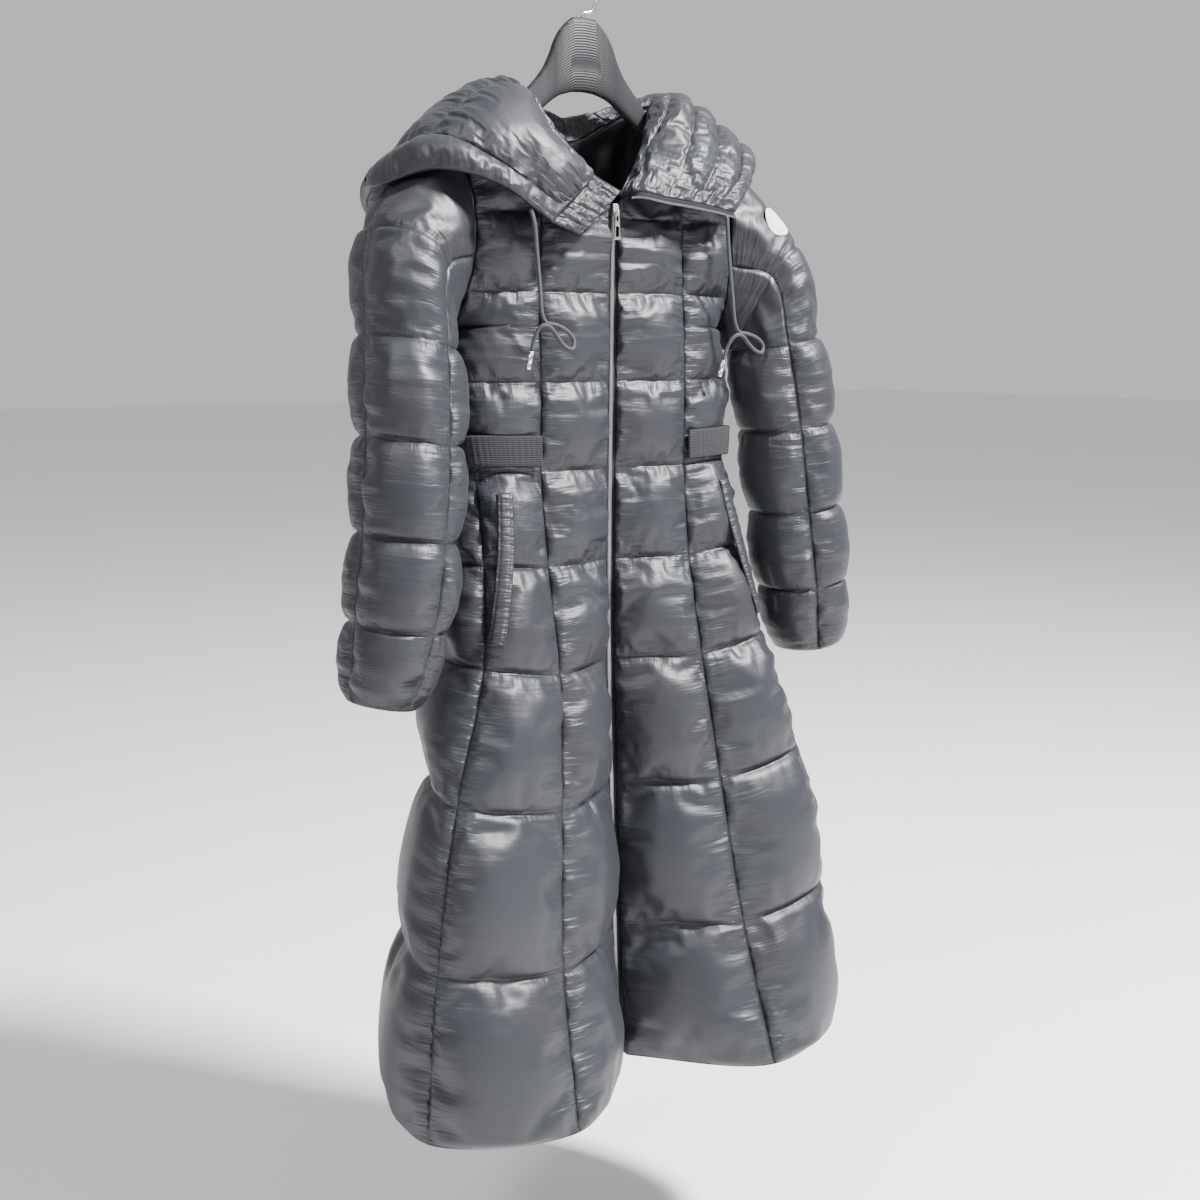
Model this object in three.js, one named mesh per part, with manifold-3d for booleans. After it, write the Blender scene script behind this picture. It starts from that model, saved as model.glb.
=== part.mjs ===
// A long quilted puffer coat on a moulded hanger. Millimetres, +Z up, the coat's front faces -Y,
// the wearer's left is +X. The origin is the top of the hook's inside, where a rail would touch it.
import * as THREE from 'three';
import Module from 'manifold-3d';

const wasm = await Module();
wasm.setup();

// Driving sizes
const SEAM = 1.5;            // half of the wall where two layers are sewn together
const GAP = 0.35;            // each piece stops this short of its seam line
const PUFF_SHARPNESS = 0.6;  // lower is a squarer pillow
const CELL_SHARE = 0.3;      // a pillow never rises more than this share of its shorter side
const FINE = 5;              // steps across a quilted cell on the puffed face
const PLAIN = 2;             // steps across a quilted cell on the plain face
const ZIP_HALF = 8;          // the fronts stop this far from the middle of the zip
const UNDERARM = 2.4;        // the armhole's lowest point, in rows below the shoulder

// The armhole, an upright oval on each side of the body
const ARMHOLE = { x: 189, reach: 16, middle: -316.5, halfHeight: 113.5, front: 60, back: 54 };

// One row for each level of quilting seams, the shoulder's row aside. z is its height at the zip.
// The seams on one half of the body follow: zip, princess seam, side seam, the widest place
// behind it, back princess seam and centre back. lift raises the side above z.
const LEVEL = [
  // z, zipY, princessX, princessY, sideX, sideY, lift, wideX, wideY, backX, backY, spineY, puff
  [-296, -66, 105, -66, 189, -55, 0, 160, 62, 100, 60, 54, 13],
  [-387, -64, 108, -66, 189, -50, 0, 162, 68, 104, 74, 70, 15],
  [-495, -62, 109, -70, 203, -36, 0, 196, 12, 104, 80, 76, 15],
  [-604, -60, 110, -70, 190, -48, 2, 188, 0, 100, 68, 62, 14],
  [-721, -58, 109, -84, 196, -80, 8, 206, -6, 108, 80, 72, 16],
  [-851, -58, 111, -112, 213, -106, 18, 214, 8, 122, 98, 82, 18],
  [-1017, -64, 125, -138, 264, -128, 25, 228, 0, 136, 116, 92, 20],
  [-1210, -72, 143, -168, 302, -142, 22, 266, 5, 150, 132, 100, 21],
  [-1396, -84, 156, -222, 320, -144, 0, 288, 12, 164, 150, 108, 21],
];
const YOKE_PUFF = 10;
const NECK_POINT = new THREE.Vector3(106, 0.6, -153);
const SHOULDER_TIP = new THREE.Vector3(205, 0.6, -203);
const ZIP_TOP = new THREE.Vector3(0, -69, -280);
const BACK_NECK = new THREE.Vector3(0, 36, -200);
const NECK_BOW = 16;
const BACK_BOW = 12;
const NECK_DROP = 24;

// The elastic band at the waist
const BAND = {
  z: -579, height: 38, row: 3, start: 1.02, steps: 18, squeeze: 0.85, spread: 34, thickness: 2, stand: 8.5,
};

// One row for each ring of a sleeve: its middle, half sizes, how far the ring tips outward in
// degrees, and the pillow height of the row that ends there.
const SLEEVE = [
  // x, y, z, across, deep, tip, puff
  [260, -22, -330, 46, 70, 16, 8],
  [276, -46, -448, 52, 66, 11, 13],
  [286, -66, -560, 53, 64, 8, 13],
  [298, -74, -671, 52, 62, 8, 13],
  [314, -76, -775, 50, 60, 9, 13],
  [332, -70, -866, 38, 47, 10, 12],
];
const SLEEVE_SEAM = { front: -114, outer: 0, back: 123 };
const CAP_DROP = 112;
const MOUTH_GAP = 3.6;
const CAP_SHARE = { front: 0.5, back: 0.5, under: 0.1 };

// One row for each section of the opened hood, from the wearer's right front round the back to
// the left front. seat is its place along the neck seam; then the fold at the top of the stand,
// three places across the hood and its free edge.
const HOOD = [
  // seat, fold, near, middle, far, edge
  [-0.32, [-40, -84, -250], [-62, -104, -262], [-80, -108, -277], [-97, -108, -292], [-114, -106, -309]],
  [-0.62, [-76, -50, -202], [-115, -82, -212], [-151, -88, -227], [-178, -93, -243], [-186, -106, -269]],
  [-0.86, [-96, -28, -154], [-134, -22, -150], [-180, -32, -176], [-226, -52, -214], [-246, -74, -254]],
  [-1.04, [-106, 8, -134], [-142, 34, -150], [-188, 36, -182], [-246, 26, -228], [-284, 8, -268]],
  [-1.45, [-90, 36, -142], [-128, 72, -172], [-186, 92, -230], [-256, 92, -272], [-272, 62, -256]],
  [-2.4, [-44, 52, -156], [-90, 116, -212], [-150, 140, -340], [-205, 158, -306], [-196, 136, -216]],
  [-4.0, [0, 54, -164], [0, 114, -215], [0, 136, -425], [0, 198, -330], [0, 170, -198]],
  [2.4, [44, 52, -156], [90, 116, -212], [150, 140, -340], [205, 158, -306], [196, 136, -216]],
  [1.45, [104, 40, -138], [140, 72, -166], [190, 88, -222], [250, 82, -250], [266, 60, -236]],
  [1.04, [140, 12, -130], [180, 24, -142], [222, 26, -164], [256, 22, -186], [272, 6, -208]],
  [0.86, [107, -34, -154], [148, -36, -158], [188, -32, -178], [226, -34, -198], [248, -34, -220]],
  [0.55, [62, -56, -211], [99, -84, -216], [139, -90, -228], [176, -91, -242], [196, -87, -254]],
  [0.1, [18, -94, -266], [56, -106, -272], [96, -108, -276], [134, -106, -280], [166, -100, -284]],
];
const HOOD_PUFF = 8;
const BRIM_PUFF = 13;
const CASING_AT = 4;
const HOOD_STEPS = 3;

// The drawcords: hand-laid routes from the hood's edge through a slipped knot to a metal tip
const CORD_RADIUS = 2.5;
const CORD_SIDES = 6;
const CORD_STEPS = 40;
const CORD_RIGHT = [
  [-141.2, -104, -294.9], [-138, -106, -310], [-132, -102, -345], [-127, -100, -385], [-124, -100, -416],
  [-119, -101, -425], [-104, -101, -428], [-88, -101, -436], [-80, -101, -447], [-84, -103, -456],
  [-96, -104, -452], [-108, -106, -440], [-118, -109, -431], [-128, -110, -428], [-134, -106, -434],
  [-137, -102, -446], [-139, -100, -458],
];
const CORD_LEFT = [
  [150, -104, -290.4], [152, -103, -304], [158, -100, -340], [166, -98, -390], [172, -97, -424],
  [178, -97, -434], [194, -96, -437], [212, -95, -443], [222, -94, -452], [218, -96, -461],
  [205, -98, -458], [190, -101, -448], [180, -105, -441], [169, -107, -438], [161, -104, -444],
  [156, -100, -456], [153, -98, -470],
];
const CORD_TIP = { radius: 3.4, length: 22 };

const ZIP = { tape: 1.2, coil: 2.2, coilEdge: 2.9, step: 0.4, rows: 18, end: 8.97 };
// The free zip half on the hood's left edge: where it starts, and its places below the edge
const HOOD_ZIP = { from: 0.7, length: 4.25, steps: 16, drops: [0.6, 4.6, 5, 7.4] };
const PULL = { z: -292, length: 34, width: 9, thickness: 1.8, bar: 2.6 };
const ARCH = { room: 2, wall: 1, width: 2.2 };
const SLIDER_THICKNESS = 2.6;
const TAB = { top: [-9, -95, -268], bottom: [-76, -108, -322], bands: 5, puff: 2.4, bow: 3, start: 0.012 };
const POCKET = {
  topRow: 4.24, bottomRow: 5.78, topPlace: 1.7, bottomPlace: 1.97, width: 0.2, clear: 0.55, thickness: 3,
  steps: 14,
};
const BADGE = { angle: -58, turn: 20, row: 0.64, drop: 0.17, clear: 0.35, thickness: 1.6, steps: 8 };

// One row for each section of the hanger, from the middle out: x, top, bottom, half thickness
const HANGER = [
  [0, -50, -139, 8], [16, -51, -140, 8], [24, -57, -142, 8], [34, -67, -145, 8],
  [42, -80, -149, 8], [48, -96, -153, 8], [57, -113, -160, 8], [68, -127, -169, 8],
  [84, -143, -180, 7], [104, -168, -194, 6], [128, -177, -206, 9], [165, -196, -222, 11],
  [186, -209, -230, 11],
];
const PLATE_RECESS = { width: 44, height: 18, depth: 1.2, z: -109 };
const HOOK = { inside: 20, rod: 2.5, foot: -49.5, sides: 8, steps: 26 };

const colours = {
  nylon: 0x3c3f46, band: 0x26272b, tape: 0x1d1e21, metal: 0xb9bbbf,
  cord: 0x303237, plastic: 0x2f3134, steel: 0xa9abaf, badge: 0xe9e9e6,
};

const group = new THREE.Group();
group.name = 'puffer_coat';

const vec = (x, y, z) => new THREE.Vector3(x, y, z);
const row = (a) => vec(a[0], a[1], a[2]);
const mix = (a, b, t) => a.clone().lerp(b, t);
const clamp = (x, low, high) => Math.min(high, Math.max(low, x));
const mirrored = (p, side) => vec(p.x * side, p.y, p.z);

// A point on the smooth curve through a list of points; t counts the points from 0
function through(points, t) {
  return new THREE.CatmullRomCurve3(points, false, 'centripetal').getPoint(t / (points.length - 1));
}

function add(name, geometry, colour, metalness = 0) {
  geometry.computeVertexNormals();
  const material = new THREE.MeshStandardMaterial({ color: colour, roughness: 0.6, metalness });
  const mesh = new THREE.Mesh(geometry, material);
  mesh.name = name;
  group.add(mesh);
  return mesh;
}

function volumeOf(points, faces) {
  let sum = 0;
  for (const [a, b, c] of faces) {
    sum += points[a].dot(points[b].clone().cross(points[c]));
  }
  return sum / 6;
}

function toGeometry(points, faces) {
  const turned = volumeOf(points, faces) < 0;
  const geometry = new THREE.BufferGeometry();
  const flat = points.flatMap((p) => [p.x, p.y, p.z]);
  geometry.setAttribute('position', new THREE.Float32BufferAttribute(flat, 3));
  geometry.setIndex(faces.flatMap(([a, b, c]) => (turned ? [a, c, b] : [a, b, c])));
  return geometry;
}

// Joins two border lines that start and end together but have different numbers of points.
// Neighbouring panels walk their shared seam the same way, so their edges match.
function stitch(faces, a, b, turned) {
  const face = (p, q, r) => faces.push(turned ? [p, r, q] : [p, q, r]);
  let i = 0;
  let j = 0;
  while (i < a.length - 1 || j < b.length - 1) {
    const nextA = (i + 1) / (a.length - 1);
    const nextB = (j + 1) / (b.length - 1);
    if (j === b.length - 1 || (i < a.length - 1 && nextA <= nextB + 1e-9)) {
      face(a[i], a[i + 1], b[j]);
      i += 1;
    } else {
      face(a[i], b[j + 1], b[j]);
      j += 1;
    }
  }
}

// A closed panel between two grids of points, the outer one first
function plate(outer, inner) {
  const points = [...outer.flat(), ...inner.flat()];
  const faces = [];
  const indexOf = (grid, start) => grid.map((line, r) => line.map((_, c) => start + r * line.length + c));
  const top = indexOf(outer, 0);
  const under = indexOf(inner, outer.length * outer[0].length);
  for (let r = 0; r < top.length - 1; r += 1) {
    for (let c = 0; c < top[0].length - 1; c += 1) {
      faces.push([top[r][c], top[r + 1][c], top[r + 1][c + 1]]);
      faces.push([top[r][c], top[r + 1][c + 1], top[r][c + 1]]);
    }
  }
  for (let r = 0; r < under.length - 1; r += 1) {
    for (let c = 0; c < under[0].length - 1; c += 1) {
      faces.push([under[r][c], under[r + 1][c + 1], under[r + 1][c]]);
      faces.push([under[r][c], under[r][c + 1], under[r + 1][c + 1]]);
    }
  }
  const last = (grid) => grid[grid.length - 1];
  const first = (line) => line[0];
  stitch(faces, top[0], under[0], false);
  stitch(faces, top.map(last), under.map(last), false);
  stitch(faces, last(top), last(under), true);
  stitch(faces, top.map(first), under.map(first), true);
  return toGeometry(points, faces);
}

const pillow = (u, v) => (16 * u * (1 - u) * v * (1 - v)) ** PUFF_SHARPNESS;

// Moves a panel's border in from its seam lines
function trim(grid) {
  const pull = (p, towards) => p.clone().add(towards.clone().sub(p).setLength(GAP));
  const lastRow = grid.length - 1;
  const lastColumn = grid[0].length - 1;
  const narrow = grid.map((line) => line.map((p, c) => {
    if (c === 0) return pull(p, line[1]);
    return c === lastColumn ? pull(p, line[c - 1]) : p;
  }));
  return narrow.map((line, r) => line.map((p, c) => {
    if (r === 0) return pull(p, narrow[1][c]);
    return r === lastRow ? pull(p, narrow[r - 1][c]) : p;
  }));
}

// How far the pillow of the cell that holds (u, v) rises there, for cells between whole numbers
function riseAt(at, range, height, u, v) {
  const [, u1, v0, v1] = range;
  const i = Math.min(Math.floor(u + 1e-6), Math.ceil(u1) - 1);
  const j = Math.min(Math.floor(v + 1e-6), Math.ceil(v1) - 1);
  const wide = at(i, v).distanceTo(at(i + 1, v));
  const tall = at(u, Math.max(j, v0)).distanceTo(at(u, Math.min(j + 1, v1)));
  const top = Math.min(height(i, j, u, v), Math.min(wide, tall) * CELL_SHARE);
  return top * pillow(clamp(u - i, 0, 1), clamp(v - j, 0, 1));
}

// A quilted panel over a surface at(u, v). height(i, j) gives a cell's pillow; the inner face is
// plain unless under gives its own pillows.
function quilted(at, normal, range, height, under = null, fine = FINE) {
  const [u0, u1, v0, v1] = range;
  const grid = (steps, direction, tall) => {
    const lines = [];
    const rows = Math.round((v1 - v0) * steps);
    const columns = Math.round((u1 - u0) * steps);
    for (let r = 0; r <= rows; r += 1) {
      const line = [];
      for (let c = 0; c <= columns; c += 1) {
        const u = u0 + c / steps;
        const v = v0 + r / steps;
        const rise = tall ? riseAt(at, range, tall, u, v) : 0;
        line.push(at(u, v).addScaledVector(normal(u, v), direction * (SEAM + rise)));
      }
      lines.push(line);
    }
    return trim(lines);
  };
  return plate(grid(fine, 1, height), grid(under ? fine : PLAIN, -1, under));
}

// The surface's normal from its slopes, turned to the side that outward(u, v) points to
function normalOf(at, limits, outward) {
  const [u0, u1, v0, v1] = limits;
  const step = 0.04;
  return (u, v) => {
    const ua = clamp(u - step, u0, u1);
    const ub = clamp(u + step, u0, u1);
    const va = clamp(v - step, v0, v1);
    const vb = clamp(v + step, v0, v1);
    const across = at(ub, v).sub(at(ua, v));
    const along = at(u, vb).sub(at(u, va));
    const n = across.cross(along).normalize();
    return n.dot(outward(u, v)) < 0 ? n.negate() : n;
  };
}

// The armhole's edge on the left half, by height; turn is -1 for the front edge, 1 for the back
function armholeAt(z, turn) {
  const c = clamp((z - ARMHOLE.middle) / ARMHOLE.halfHeight, -1, 1);
  const depth = turn < 0 ? ARMHOLE.front : ARMHOLE.back;
  return vec(ARMHOLE.x + ARMHOLE.reach * c * c, turn * depth * Math.sqrt(1 - c * c), z);
}

// The seam places of one half of the body at v rows below the shoulder
const knownRings = new Map();

function ringAt(v) {
  if (!knownRings.has(v)) knownRings.set(v, findRing(v));
  return knownRings.get(v);
}

function findRing(v) {
  if (v < 1) {
    const low = ringAt(1);
    const rise = Math.sin((1 - v) * Math.PI / 2);
    const roll = 1 - Math.cos((1 - v) * Math.PI / 2);
    const climb = (from, to) => vec(
      from.x + (to.x - from.x) * roll,
      from.y + (to.y - from.y) * roll,
      from.z + (to.z - from.z) * rise,
    );
    const front = vec(1, -1, 1);
    const tipZ = low.side.z + (SHOULDER_TIP.z - low.side.z) * rise;
    const along = mix(SHOULDER_TIP, NECK_POINT, 0.45);
    return {
      zip: climb(low.zip, ZIP_TOP),
      princess: climb(low.princess, NECK_POINT.clone().multiply(front)),
      side: v <= 0 ? SHOULDER_TIP.clone().multiply(front) : armholeAt(tipZ, -1),
      sideBack: v <= 0 ? SHOULDER_TIP.clone() : armholeAt(tipZ, 1),
      wide: climb(low.wide, along),
      back: climb(low.back, NECK_POINT),
      spine: climb(low.spine, BACK_NECK),
    };
  }
  const columns = (pick, from = 0) => through(LEVEL.slice(from).map(pick), v - 1 - from);
  const z = columns(([level]) => vec(0, 0, level)).z;
  const low = ([level, , , , x, y, lift]) => vec(x, y, level + lift);
  let side;
  if (v > UNDERARM) {
    const start = armholeAt(ARMHOLE.middle - ARMHOLE.halfHeight, -1);
    const places = [start, ...LEVEL.slice(2).map(low)];
    const t = v < 3 ? (v - UNDERARM) / (3 - UNDERARM) : v - 2;
    side = through(places, t);
  }
  return {
    zip: columns(([level, zipY]) => vec(0, zipY, level)),
    princess: columns(([level, , x, y]) => vec(x, y, level)),
    side: side ?? armholeAt(z, -1),
    sideBack: side ?? armholeAt(z, 1),
    wide: columns(([level, , , , , , lift, x, y]) => vec(x, y, level + lift)),
    back: columns((a) => vec(a[9], a[10], a[0])),
    spine: columns((a) => vec(0, a[11], a[0])),
  };
}

// The left half of the body: s runs 0 zip, 1 princess, 2 side, 3 back princess, 4 centre back
function halfBody(s, v) {
  const ring = ringAt(v);
  const across = mirrored(ring.back, -1);
  const open = v < UNDERARM + 1e-6;
  const inBack = s > 2;
  const place = s <= 2 ? s : (s <= 3 ? 2 + (s - 2) * 2 : s + 1);
  const front = [ring.zip, ring.princess, ring.side];
  const rear = [ring.wide, ring.back, ring.spine, across];
  let point;
  if (open && !inBack) point = through(front, s);
  else if (open) point = through([ring.sideBack, ...rear], place - 2);
  else point = through([...front, ...rear], place);
  if (v < 1 && s < 1) {
    const bow = NECK_BOW * Math.sin(Math.PI * s) * (1 - v);
    point.y -= bow;
    point.z -= bow * 1.6 + NECK_DROP * Math.sin(Math.PI * s) * Math.sin(Math.PI * v);
  }
  if (v < 1 && s >= 1 && s <= 2) point.y = Math.min(point.y, -SHOULDER_TIP.y);
  if (v < 1 && s > 2 && s <= 3) point.y = Math.max(point.y, SHOULDER_TIP.y);
  if (v < 1 && s > 3) point.y += BACK_BOW * Math.sin(Math.PI * (s - 3)) * (1 - v);
  return point;
}

const bodyOutward = (side) => (u, v) => {
  const p = halfBody(u, v);
  return vec(p.x * side, p.y + 20, v < 1 ? 120 * (1 - v) : 0);
};

const SIDE_STEP = 1e-6;
const AXIS_FRONT = vec(0, -1, 0);
const AXIS_UP = vec(0, 0, 1);

function bodySurface(side) {
  const at = (u, v) => mirrored(halfBody(u, v), side);
  const startOf = (u, v) => {
    const p = at(u, v);
    if (u < 0.3) p.x = side * Math.max(Math.abs(p.x), ZIP_HALF);
    return p;
  };
  const slope = (limits) => normalOf(at, limits, bodyOutward(side));
  const whole = slope([0, 4, 0, 9]);
  const front = slope([0, 2 - SIDE_STEP, 0, 9]);
  const back = slope([2 + SIDE_STEP, 4, 0, 9]);
  const normal = (u, v, inBack) => {
    const split = v < UNDERARM + 1e-6;
    let n;
    if (split) n = (inBack ? back : front)(u, v);
    else n = whole(u, v);
    if (!inBack && u < 0.3) n = mix(AXIS_FRONT, n, u / 0.3).normalize();
    if (v < 0.3 && u >= 1 && u <= 3) n = mix(AXIS_UP, n, v / 0.3).normalize();
    if (u > 4 - 1e-6) n.setX(0).normalize();
    return n;
  };
  return { at: startOf, normal };
}

// The elastic band presses the pillows that it crosses
function bandSqueeze(v) {
  const z = ringAt(clamp(v, 1, 9)).princess.z;
  return 1 - BAND.squeeze * Math.exp(-(((z - BAND.z) / BAND.spread) ** 2));
}

function bodyHeight(i, j, u, v) {
  const plain = j < 1 ? YOKE_PUFF : LEVEL[j][12];
  if (i === 0) return j < 1 ? plain * 0.3 : plain;
  const armpit = 1 - 0.7 * Math.exp(-(((u - 2) / 0.35) ** 2) - (((v - UNDERARM - 0.1) / 0.6) ** 2));
  return plain * bandSqueeze(v) * armpit;
}

function bodyPanels(side, hand) {
  const surface = bodySurface(side);
  const pieces = [
    [`front_${hand}_centre`, 0], [`front_${hand}_side`, 1],
    [`back_${hand}_side`, 2], [`back_${hand}_centre`, 3],
  ];
  for (const [name, start] of pieces) {
    const normal = (u, v) => surface.normal(u, v, start >= 2);
    const at = (u, v) => surface.at(start >= 2 ? Math.max(u, 2 + SIDE_STEP) : Math.min(u, 2 - SIDE_STEP), v);
    add(name, quilted(at, normal, [start, start + 1, 0, 9], bodyHeight), colours.nylon);
  }
}

// The left sleeve: angle in degrees round it (0 outer, -90 front), w counts rows from the armhole
function halfSleeve(angle, w) {
  const a = THREE.MathUtils.degToRad(angle);
  const c = Math.cos(a);
  const mouth = armholeAt(ARMHOLE.middle + ARMHOLE.halfHeight * Math.cos(a * 0.93), Math.sin(a) < 0 ? -1 : 1);
  mouth.x += MOUTH_GAP;
  if (Math.abs(angle) > 179.9) mouth.z = ARMHOLE.middle - ARMHOLE.halfHeight;
  const rings = SLEEVE.map(([x, y, z, across, deep, tip], k) => {
    const t = THREE.MathUtils.degToRad(tip);
    const p = vec(
      x + across * c * Math.cos(t),
      y + deep * Math.sin(a),
      z + across * c * Math.sin(t),
    );
    if (k === 0) p.z = Math.min(p.z - CAP_DROP * ((1 - c) / 2) ** 4, mouth.z - 9);
    return p;
  });
  return through([mouth, ...rings], w);
}

const SLEEVE_AXIS = (w) => {
  const [x, y, z] = SLEEVE[clamp(Math.round(w) - 1, 0, SLEEVE.length - 1)];
  return vec(x, y, z);
};

function sleevePanels(side, hand) {
  const turns = [
    [`sleeve_${hand}_front`, SLEEVE_SEAM.front, SLEEVE_SEAM.outer],
    [`sleeve_${hand}_back`, SLEEVE_SEAM.outer, SLEEVE_SEAM.back],
    [`sleeve_${hand}_under`, SLEEVE_SEAM.back, 360 + SLEEVE_SEAM.front],
  ];
  const wrap = (angle) => (angle > 180 ? angle - 360 : angle);
  const whole = (angle, w) => mirrored(halfSleeve(wrap(angle), w), side);
  const outward = (angle, w) => whole(angle, w).sub(mirrored(SLEEVE_AXIS(w), side));
  for (const [name, from, to] of turns) {
    const at = (u, w) => whole(from + (to - from) * u, w);
    const normal = (u, w) => {
      const angle = from + (to - from) * u;
      const da = 4;
      const wa = clamp(w - 0.05, 0, 6);
      const wb = clamp(w + 0.05, 0, 6);
      const n = whole(angle + da, w).sub(whole(angle - da, w)).cross(whole(angle, wb).sub(whole(angle, wa)));
      n.normalize();
      return n.dot(outward(angle, w)) < 0 ? n.negate() : n;
    };
    const height = (i, j) => SLEEVE[j][6] * (j < 2 ? CAP_SHARE[name.split('_')[2]] : 1);
    add(name, quilted(at, normal, [0, 1, 0, 6], height), colours.nylon);
  }
}

// The hood's neck edge lies on the body's neckline; seat 0..1 is the front, 3..4 the back
function neckSeat(seat) {
  const side = Math.sign(seat) || 1;
  const s = Math.abs(seat) <= 1 ? Math.abs(seat) : 3 + (Math.abs(seat) - 1) / 3;
  const p = halfBody(s, 0);
  return vec(p.x * side, p.y, p.z + 5);
}

function hoodAt(t, q) {
  const lines = HOOD.map(([seat, ...places]) => [neckSeat(seat), ...places.map(row)]);
  const across = lines.map((line) => through(line, q));
  return through(across, t);
}

// Which face of the hood is the lining: it looks up and out of the opened collar
function hoodInside(t, q) {
  const step = 0.05;
  const ta = clamp(t - step, 0, HOOD.length - 1);
  const tb = clamp(t + step, 0, HOOD.length - 1);
  const qa = clamp(q - step, 0, 5);
  const qb = clamp(q + step, 0, 5);
  const along = hoodAt(tb, q).sub(hoodAt(ta, q));
  const over = hoodAt(t, qb).sub(hoodAt(t, qa));
  return over.cross(along).normalize();
}

const hoodUp = (t, q) => hoodInside(t, q).negate();

// 1 where the hood hangs as a bag behind the neck, 0 at its opened fronts
const bagShare = (t) => Math.exp(-(((t - 6) / 2.6) ** 4));

function hoodPieces() {
  const last = HOOD.length - 1;
  const seen = (rise) => (i, j, t) => rise * (1 - bagShare(t));
  const hidden = (rise) => (i, j, t) => rise * (0.2 + 0.2 * bagShare(t));
  const pieces = [['hood_right', 0, 5], ['hood_centre', 5, 7], ['hood_left', 7, last]];
  for (const [name, from, to] of pieces) {
    const panel = [from, to, 0, CASING_AT];
    add(name, quilted(hoodAt, hoodUp, panel, seen(HOOD_PUFF), hidden(HOOD_PUFF), HOOD_STEPS), colours.nylon);
    const casing = [from, to, CASING_AT, 5];
    const brim = name.replace('hood', 'hood_brim');
    add(brim, quilted(hoodAt, hoodUp, casing, seen(BRIM_PUFF), hidden(BRIM_PUFF), HOOD_STEPS), colours.nylon);
  }
}

// The throat tab carries on from the hood's right front and crosses the top of the zip
function throatTab() {
  const near = [row(HOOD[0][1]), row(HOOD[0][5])];
  const far = [TAB.top, TAB.bottom].map(row);
  const at = (u, v) => {
    const start = mix(near[0], near[1], v / TAB.bands);
    const end = mix(far[0], far[1], v / TAB.bands);
    const p = mix(start, end, TAB.start + u * (1 - TAB.start));
    p.y -= TAB.bow * Math.sin(Math.PI * clamp(v / TAB.bands, 0, 1));
    return p;
  };
  const normal = normalOf(at, [0, 1, 0, TAB.bands], () => AXIS_FRONT);
  add('hood_tab', quilted(at, normal, [0, 1, 0, TAB.bands], () => TAB.puff, null, HOOD_STEPS), colours.nylon);
}

// A thin strip from two edge lines, with its own thickness to each side of them
function strip(lines, normals, above, below) {
  const moved = (p, r, c, share) => p.clone().addScaledVector(normals[r][c], share);
  const shift = (share) => lines.map((line, r) => line.map((p, c) => moved(p, r, c, share)));
  return plate(shift(above), shift(-below));
}

// It runs round the sides and back from one front princess seam to the other
function waistband() {
  const right = bodySurface(-1);
  const left = bodySurface(1);
  const placeOf = (k) => BAND.start + (4 - BAND.start) * (k / BAND.steps);
  const columns = [];
  for (let k = 0; k <= BAND.steps; k += 1) columns.push([right, placeOf(k)]);
  for (let k = BAND.steps - 1; k >= 0; k -= 1) columns.push([left, placeOf(k)]);
  const above = LEVEL[BAND.row - 1][0];
  const rowHeight = above - LEVEL[BAND.row][0];
  const rowsDown = (z) => BAND.row + (above - z) / rowHeight;
  const heights = [BAND.height / 2, 0, -BAND.height / 2].map((up) => rowsDown(BAND.z + up));
  const lines = heights.map((v) => columns.map(([surface, s]) => surface.at(s, v)));
  const normals = heights.map((v) => columns.map(([surface, s]) => surface.normal(s, v, s > 2)));
  add('waistband', strip(lines, normals, BAND.stand + BAND.thickness, -BAND.stand), colours.band);
}

// The pocket's welt rides level over the pillows that it crosses
function pocketWelt(side, hand) {
  const surface = bodySurface(side);
  const lines = [];
  const normals = [];
  for (let k = 0; k <= POCKET.steps; k += 1) {
    const t = k / POCKET.steps;
    const v = POCKET.topRow + (POCKET.bottomRow - POCKET.topRow) * t;
    const s = POCKET.topPlace + (POCKET.bottomPlace - POCKET.topPlace) * t;
    const line = [];
    const turn = [];
    for (const share of [0, 0.5, 1]) {
      const u = s - POCKET.width * (1 - share);
      const n = surface.normal(u, v, false);
      const rise = bodyHeight(1, Math.floor(v), u, v) * pillow(u - 1, 0.5);
      line.push(surface.at(u, v).addScaledVector(n, SEAM + rise + POCKET.clear));
      turn.push(n);
    }
    lines.push(line);
    normals.push(turn);
  }
  add(`pocket_welt_${hand}`, strip(lines, normals, POCKET.thickness, 0), colours.nylon);
}

// A zip tape with its raised coil at the inner edge
function zipTape(side, hand) {
  const outer = [];
  const inner = [];
  for (let r = 0; r <= ZIP.rows; r += 1) {
    const v = ZIP.end * (r / ZIP.rows);
    const p = ringAt(v).zip;
    const places = [GAP, ZIP.coilEdge, ZIP.coilEdge + ZIP.step, ZIP_HALF - GAP];
    const fronts = [-ZIP.coil, -ZIP.coil, -ZIP.tape / 2, -ZIP.tape / 2];
    outer.push(places.map((x, c) => vec(side * x, p.y + fronts[c], p.z)));
    inner.push([places[0], places[3]].map((x) => vec(side * x, p.y + ZIP.tape / 2, p.z)));
  }
  add(`zip_tape_${hand}`, plate(outer, inner), colours.tape);
}

// The free half of the zip on the opened hood's left front edge
function hoodZip() {
  const t = HOOD.length - 1;
  const outer = [];
  const inner = [];
  const places = HOOD_ZIP.drops;
  for (let k = 0; k <= HOOD_ZIP.steps; k += 1) {
    const q = HOOD_ZIP.from + (HOOD_ZIP.length * k) / HOOD_ZIP.steps;
    const p = hoodAt(t, q);
    const rises = [ZIP.tape / 2, ZIP.tape / 2, ZIP.coil, ZIP.coil];
    outer.push(places.map((drop, c) => vec(p.x, p.y - rises[c], p.z - drop)));
    inner.push([places[0], places[3]].map((drop) => vec(p.x, p.y + ZIP.tape / 2, p.z - drop)));
  }
  add('hood_zip_tape', plate(outer, inner), colours.tape);
}

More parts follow.
